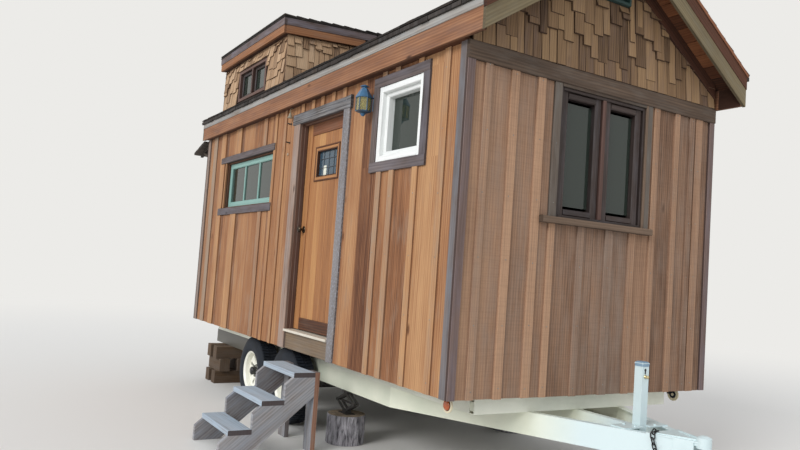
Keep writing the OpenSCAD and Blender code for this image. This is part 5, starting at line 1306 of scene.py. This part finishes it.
# Growth rings about 6 mm apart round the pith, greyed, with dark checks towards the rim
end_grain, tree, shader = new_material("sawn_log_end")
chart = add(tree, "UVMap", uv_map="grain")
wave = add(tree, "TexWave", {"Vector": chart, "Scale": 26.0, "Distortion": 1.5, "Detail": 2.0,
                             "Detail Scale": 0.6}, wave_type="RINGS", rings_direction="Z")
grime = add(tree, "TexNoise", {"Vector": chart, "Scale": 14.0, "Detail": 5.0})
level = add(tree, "Math", {0: wave.outputs["Fac"], 1: 0.35, 2: grime}, operation="MULTIPLY_ADD")
shade = add(tree, "ValToRGB", {"Fac": level}, [(0.4, "#5a4c3d"), (0.65, "#8e7c66"), (0.9, "#b0a089")])
bump = add(tree, "Bump", {"Height": level, "Strength": 0.5, "Distance": 0.002})
feed(shader, {"Base Color": shade, "Roughness": 0.85, "Normal": bump})

barks, log_ends = Pieces(), Pieces()
log_x, log_r, log_h, around = -1850, 165, 240, 48
for y in prop_y:
    bulge = [rng.uniform(-4, 0) for _ in range(around)]
    lean = [0.5 * bulge[k] + 0.25 * bulge[k - 1] + 0.25 * bulge[(k + 1) % around] for k in range(around)]
    co = []
    for h in (0, 6, 60, 120, 180, 234, log_h):
        radius = log_r - (5 if h in (0, log_h) else 0)
        co += [(log_x + cos * (radius + lean[k] + rng.uniform(-1.5, 0)),
                y + sin * (radius + lean[k] + rng.uniform(-1.5, 0)), h + ground)
               for k, (cos, sin) in enumerate(polygon(around, 1))]
    barks.take(co, tube(7, around) + caps(7, around))
    rim = [(x, yy, z + rise) for rise in (-1.7, 0.3) for x, yy, z in co[-around:]]
    flat = [((x - log_x + 12) * mm, (yy - y - 9) * mm) for x, yy, z in rim]
    faces = tube(2, around) + caps(2, around)
    log_ends.take(rim, faces, [[flat[i] for i in face] for face in faces])
barks.build("stump_bark", bark, replaces=["log_stumps"], slot="log_wood")
log_ends.build("stump_ends", end_grain, slot="log_wood")

cribs = Pieces(upwards)
crib_x, crib_l, crib_w, layer = -4950, 420, 120, 433 / 3
for y in prop_y:
    for i in range(3):
        for s in (-1, 1):
            foot, off = i * layer + ground, s * 110 - crib_w / 2
            look = {"tone": rng.uniform(0.25, 0.75), "grey": rng.uniform(0.1, 0.5), "bevel": 6}
            if i % 2 == 0:
                plank(cribs, (crib_x + off, y - crib_l / 2, foot), inward, right, crib_l, crib_w, layer,
                      **look)
            else:
                plank(cribs, (crib_x - crib_l / 2, y + off, foot), right, inward, crib_l, crib_w, layer,
                      **look)
cribs.build("crib_timbers", wood("weathered_crib_timber", "#3f3024", "#71583f", "#92765a", grey="#7d766e",
                                 weather=0.35, knots=0.9), replaces=["timber_cribs"], slot="prop_timber")

# Entry steps
# Three treads on cut stringers with a leg board behind each, of fir left to silver. They stand free on the
# ground, a hand's breadth from the sill.
# The step boards darken their marked ends strongly: dirt, and painted shade on the treads' ends
silver_wood = wood("silvered_step_boards", "#40322f", "#a6abb2", "#c8d1da", grey="#a9bbca", weather=0.45,
                   knots=0.5, streaks=0.9, contrast=1.2, dirt_and_shade=0.92)
string_wood = wood("speckled_grey_stringers", "#54433b", "#8b8583", "#b3afae", grey="#9ba5b1", weather=0.3,
                   knots=0.9, streaks=0.9, contrast=1.5)
steps_x, step_t, leg_y, leg_w, leg_z = (-2262, -1612), 38, -116, 134, 586
treads, stringers, sawn = Pieces(upwards), Pieces(inward), Pieces()
for y, top, tone in ((-792, 208, .5), (-546, 416, .6), (-300, 624, .55)):
    plank(treads, (steps_x[0], y, top - step_t + ground), right, inward, 650, 184, step_t, tone=tone,
          grey=0.5, bevel=4, wave=1.5, darkened=())
treads.build("tread_boards", silver_wood, replaces=["step_treads"], slot="weathered_wood")
# A stringer in Y and Z, from its foot at the back: its grain runs up the flight
outline = [(-644, 0), (leg_y, 436), (leg_y, leg_z)]
for front, foot, seat in ((-300, 378, 586), (-546, 170, 378), (-792, 0, 170)):
    outline += [(front, seat), (front - 62, seat - 52), (front - 62, foot)]
faces = tube(2, len(outline)) + caps(2, len(outline))
flat = [((u * 0.783 + v * 0.622) * mm, (v * 0.783 - u * 0.622) * mm) for u, v in outline] * 2
# Each stringer's inner face is marked a little darker: painted shade, where the treads above shade it
for x, tone, inner_face_shade in ((steps_x[0], .4, [0.0, 0.3]), (steps_x[1] - step_t, .6, [0.3, 0.0])):
    stringers.take([tuple(Vector((x + thick, u, ground)) + Vector((0, 0, v))) for thick in (0, step_t)
                    for u, v in outline], faces,
                   [[flat[i] for i in face] for face in faces], (tone, 0.4, rng.random()),
                   [0.0] * len(outline) + inner_face_shade)
for x in (steps_x[0], steps_x[1] - leg_w):
    for foot, tall in ((ground, leg_z), (leg_z + ground, step_t)):
        plank(stringers, (x, leg_y, foot), upwards, right, tall, leg_w, step_t, tone=0.45, grey=0.4, bevel=3)
stringers.build("step_frames", string_wood, replaces=["step_stringers"], slot="weathered_wood")
# The outer edges of the legs were sawn later and are still brown
for x, out in ((steps_x[0], -1), (steps_x[1], 1)):
    sawn.out = (out, 0, 0)
    plank(sawn, (x, leg_y, ground), upwards, inward, leg_z + step_t, step_t, 2, tone=0.5, grey=0.1, bevel=0.5)
sawn.build("leg_edges", wood("sawn_leg_edges", "#5d4336", "#946f5c", "#b28a74", weather=0.1),
           slot="weathered_wood")

# Nails
# Round galvanised heads, 9 mm across, driven home in the battens and casings by hand, so that each has its
# own place in the row.
head = Pieces()
turned(head, (0, 0, 0), upwards, [(-1, 4.5), (0.6, 4.4), (1.4, 3), (1.7, 0.5)], 8)
nail_head = template("nail_head", head)
nails = []


def nail(wall, level, height, depth):
    """A nail's place on a wall: along it, in height and out from its face."""
    origin, side, out, turn = walls[wall]
    nails.append((tuple(origin + side * level + Vector((0, 0, height)) + out * depth), turn, full_size))


for wall, battens, holes, top in (("door", side_battens, [white_hole, green_hole, door_hole], siding_top),
                                  ("far", side_battens + middle_battens, [white_hole, green_hole],
                                   siding_top),
                                  ("front", end_battens, [end_hole], band_z),
                                  ("rear", end_battens, [end_hole], band_z)):
    for lo, hi, _, _ in battens:
        for height in range(60, top, 410):
            at, level = (lo + hi) / 2 + rng.uniform(-9, 9), height + rng.uniform(-12, 12)
            if not any(a < at < b and c < level < d for a, b, c, d in holes):
                nail(wall, at, level, batten_out)
for level in (-2600, -1603):
    for height in range(50, head_z, 500):
        nail("door", level + rng.uniform(-12, 12), height, trim_t)
for level in range(-2640, -1540, 260):
    nail("door", level, head_z + rng.uniform(30, 70), 32)
laid("nail_heads", nails, nail_head, bright_steel)
bpy.data.objects.remove(nail_head)

# Stage and light
# A plain pale floor that fades into an even pale backdrop, a soft sky and one broad lamp at the door side,
# as on a bright day under thin cloud.
floor, reach = placed("stage_floor", bpy.data.meshes.new("stage_floor")), 60
floor.data.from_pydata([(-reach, -reach, 0), (reach, -reach, 0), (reach, reach, 0), (-reach, reach, 0)], [],
                       [(0, 1, 2, 3)])
pale_floor, tree, shader = new_material("pale_floor")
far_off = add(tree, "VectorMath", {0: add(tree, "TexCoord").outputs["Object"]}, operation="LENGTH")
fade = add(tree, "MapRange", {"Value": far_off, "From Min": 6.0, "From Max": 16.0},
           interpolation_type="SMOOTHSTEP")
feed(shader, {"Base Color": "#e4e2de", "Roughness": 0.9})
backdrop = add(tree, "Emission", {"Color": "#ecebe8"})
mixed = add(tree, "MixShader", {"Fac": fade, 1: shader, 2: backdrop})
feed(tree.nodes["Material Output"], {"Surface": mixed})
floor.data.materials.append(pale_floor)

sky = bpy.data.worlds.new("soft_sky")
bpy.context.scene.world = sky
sky.use_nodes = True
tree = sky.node_tree
ray = add(tree, "LightPath").outputs
seen = add(tree, "Math", {0: ray["Is Camera Ray"], 1: ray["Is Glossy Ray"]}, operation="MAXIMUM")
seen = add(tree, "Math", {0: seen, 1: ray["Is Transmission Ray"]}, operation="MAXIMUM")
plain = add(tree, "Background", {"Color": "#ecebe8", "Strength": 1.0})
soft = add(tree, "Background", {"Color": "#eef1f5", "Strength": 0.86})
feed(tree.nodes["World Output"], {"Surface": add(tree, "MixShader", {"Fac": seen, 1: soft, 2: plain})})

lamp = placed("door_side_lamp", bpy.data.lights.new("door_side_lamp", "SUN"))
lamp.data.energy = 1.68
lamp.data.angle = math.radians(25)
lamp.rotation_euler = Vector((-0.3, 0.85, -0.45)).to_track_quat("-Z", "Y").to_euler()
bpy.context.scene.view_settings.view_transform = "Standard"
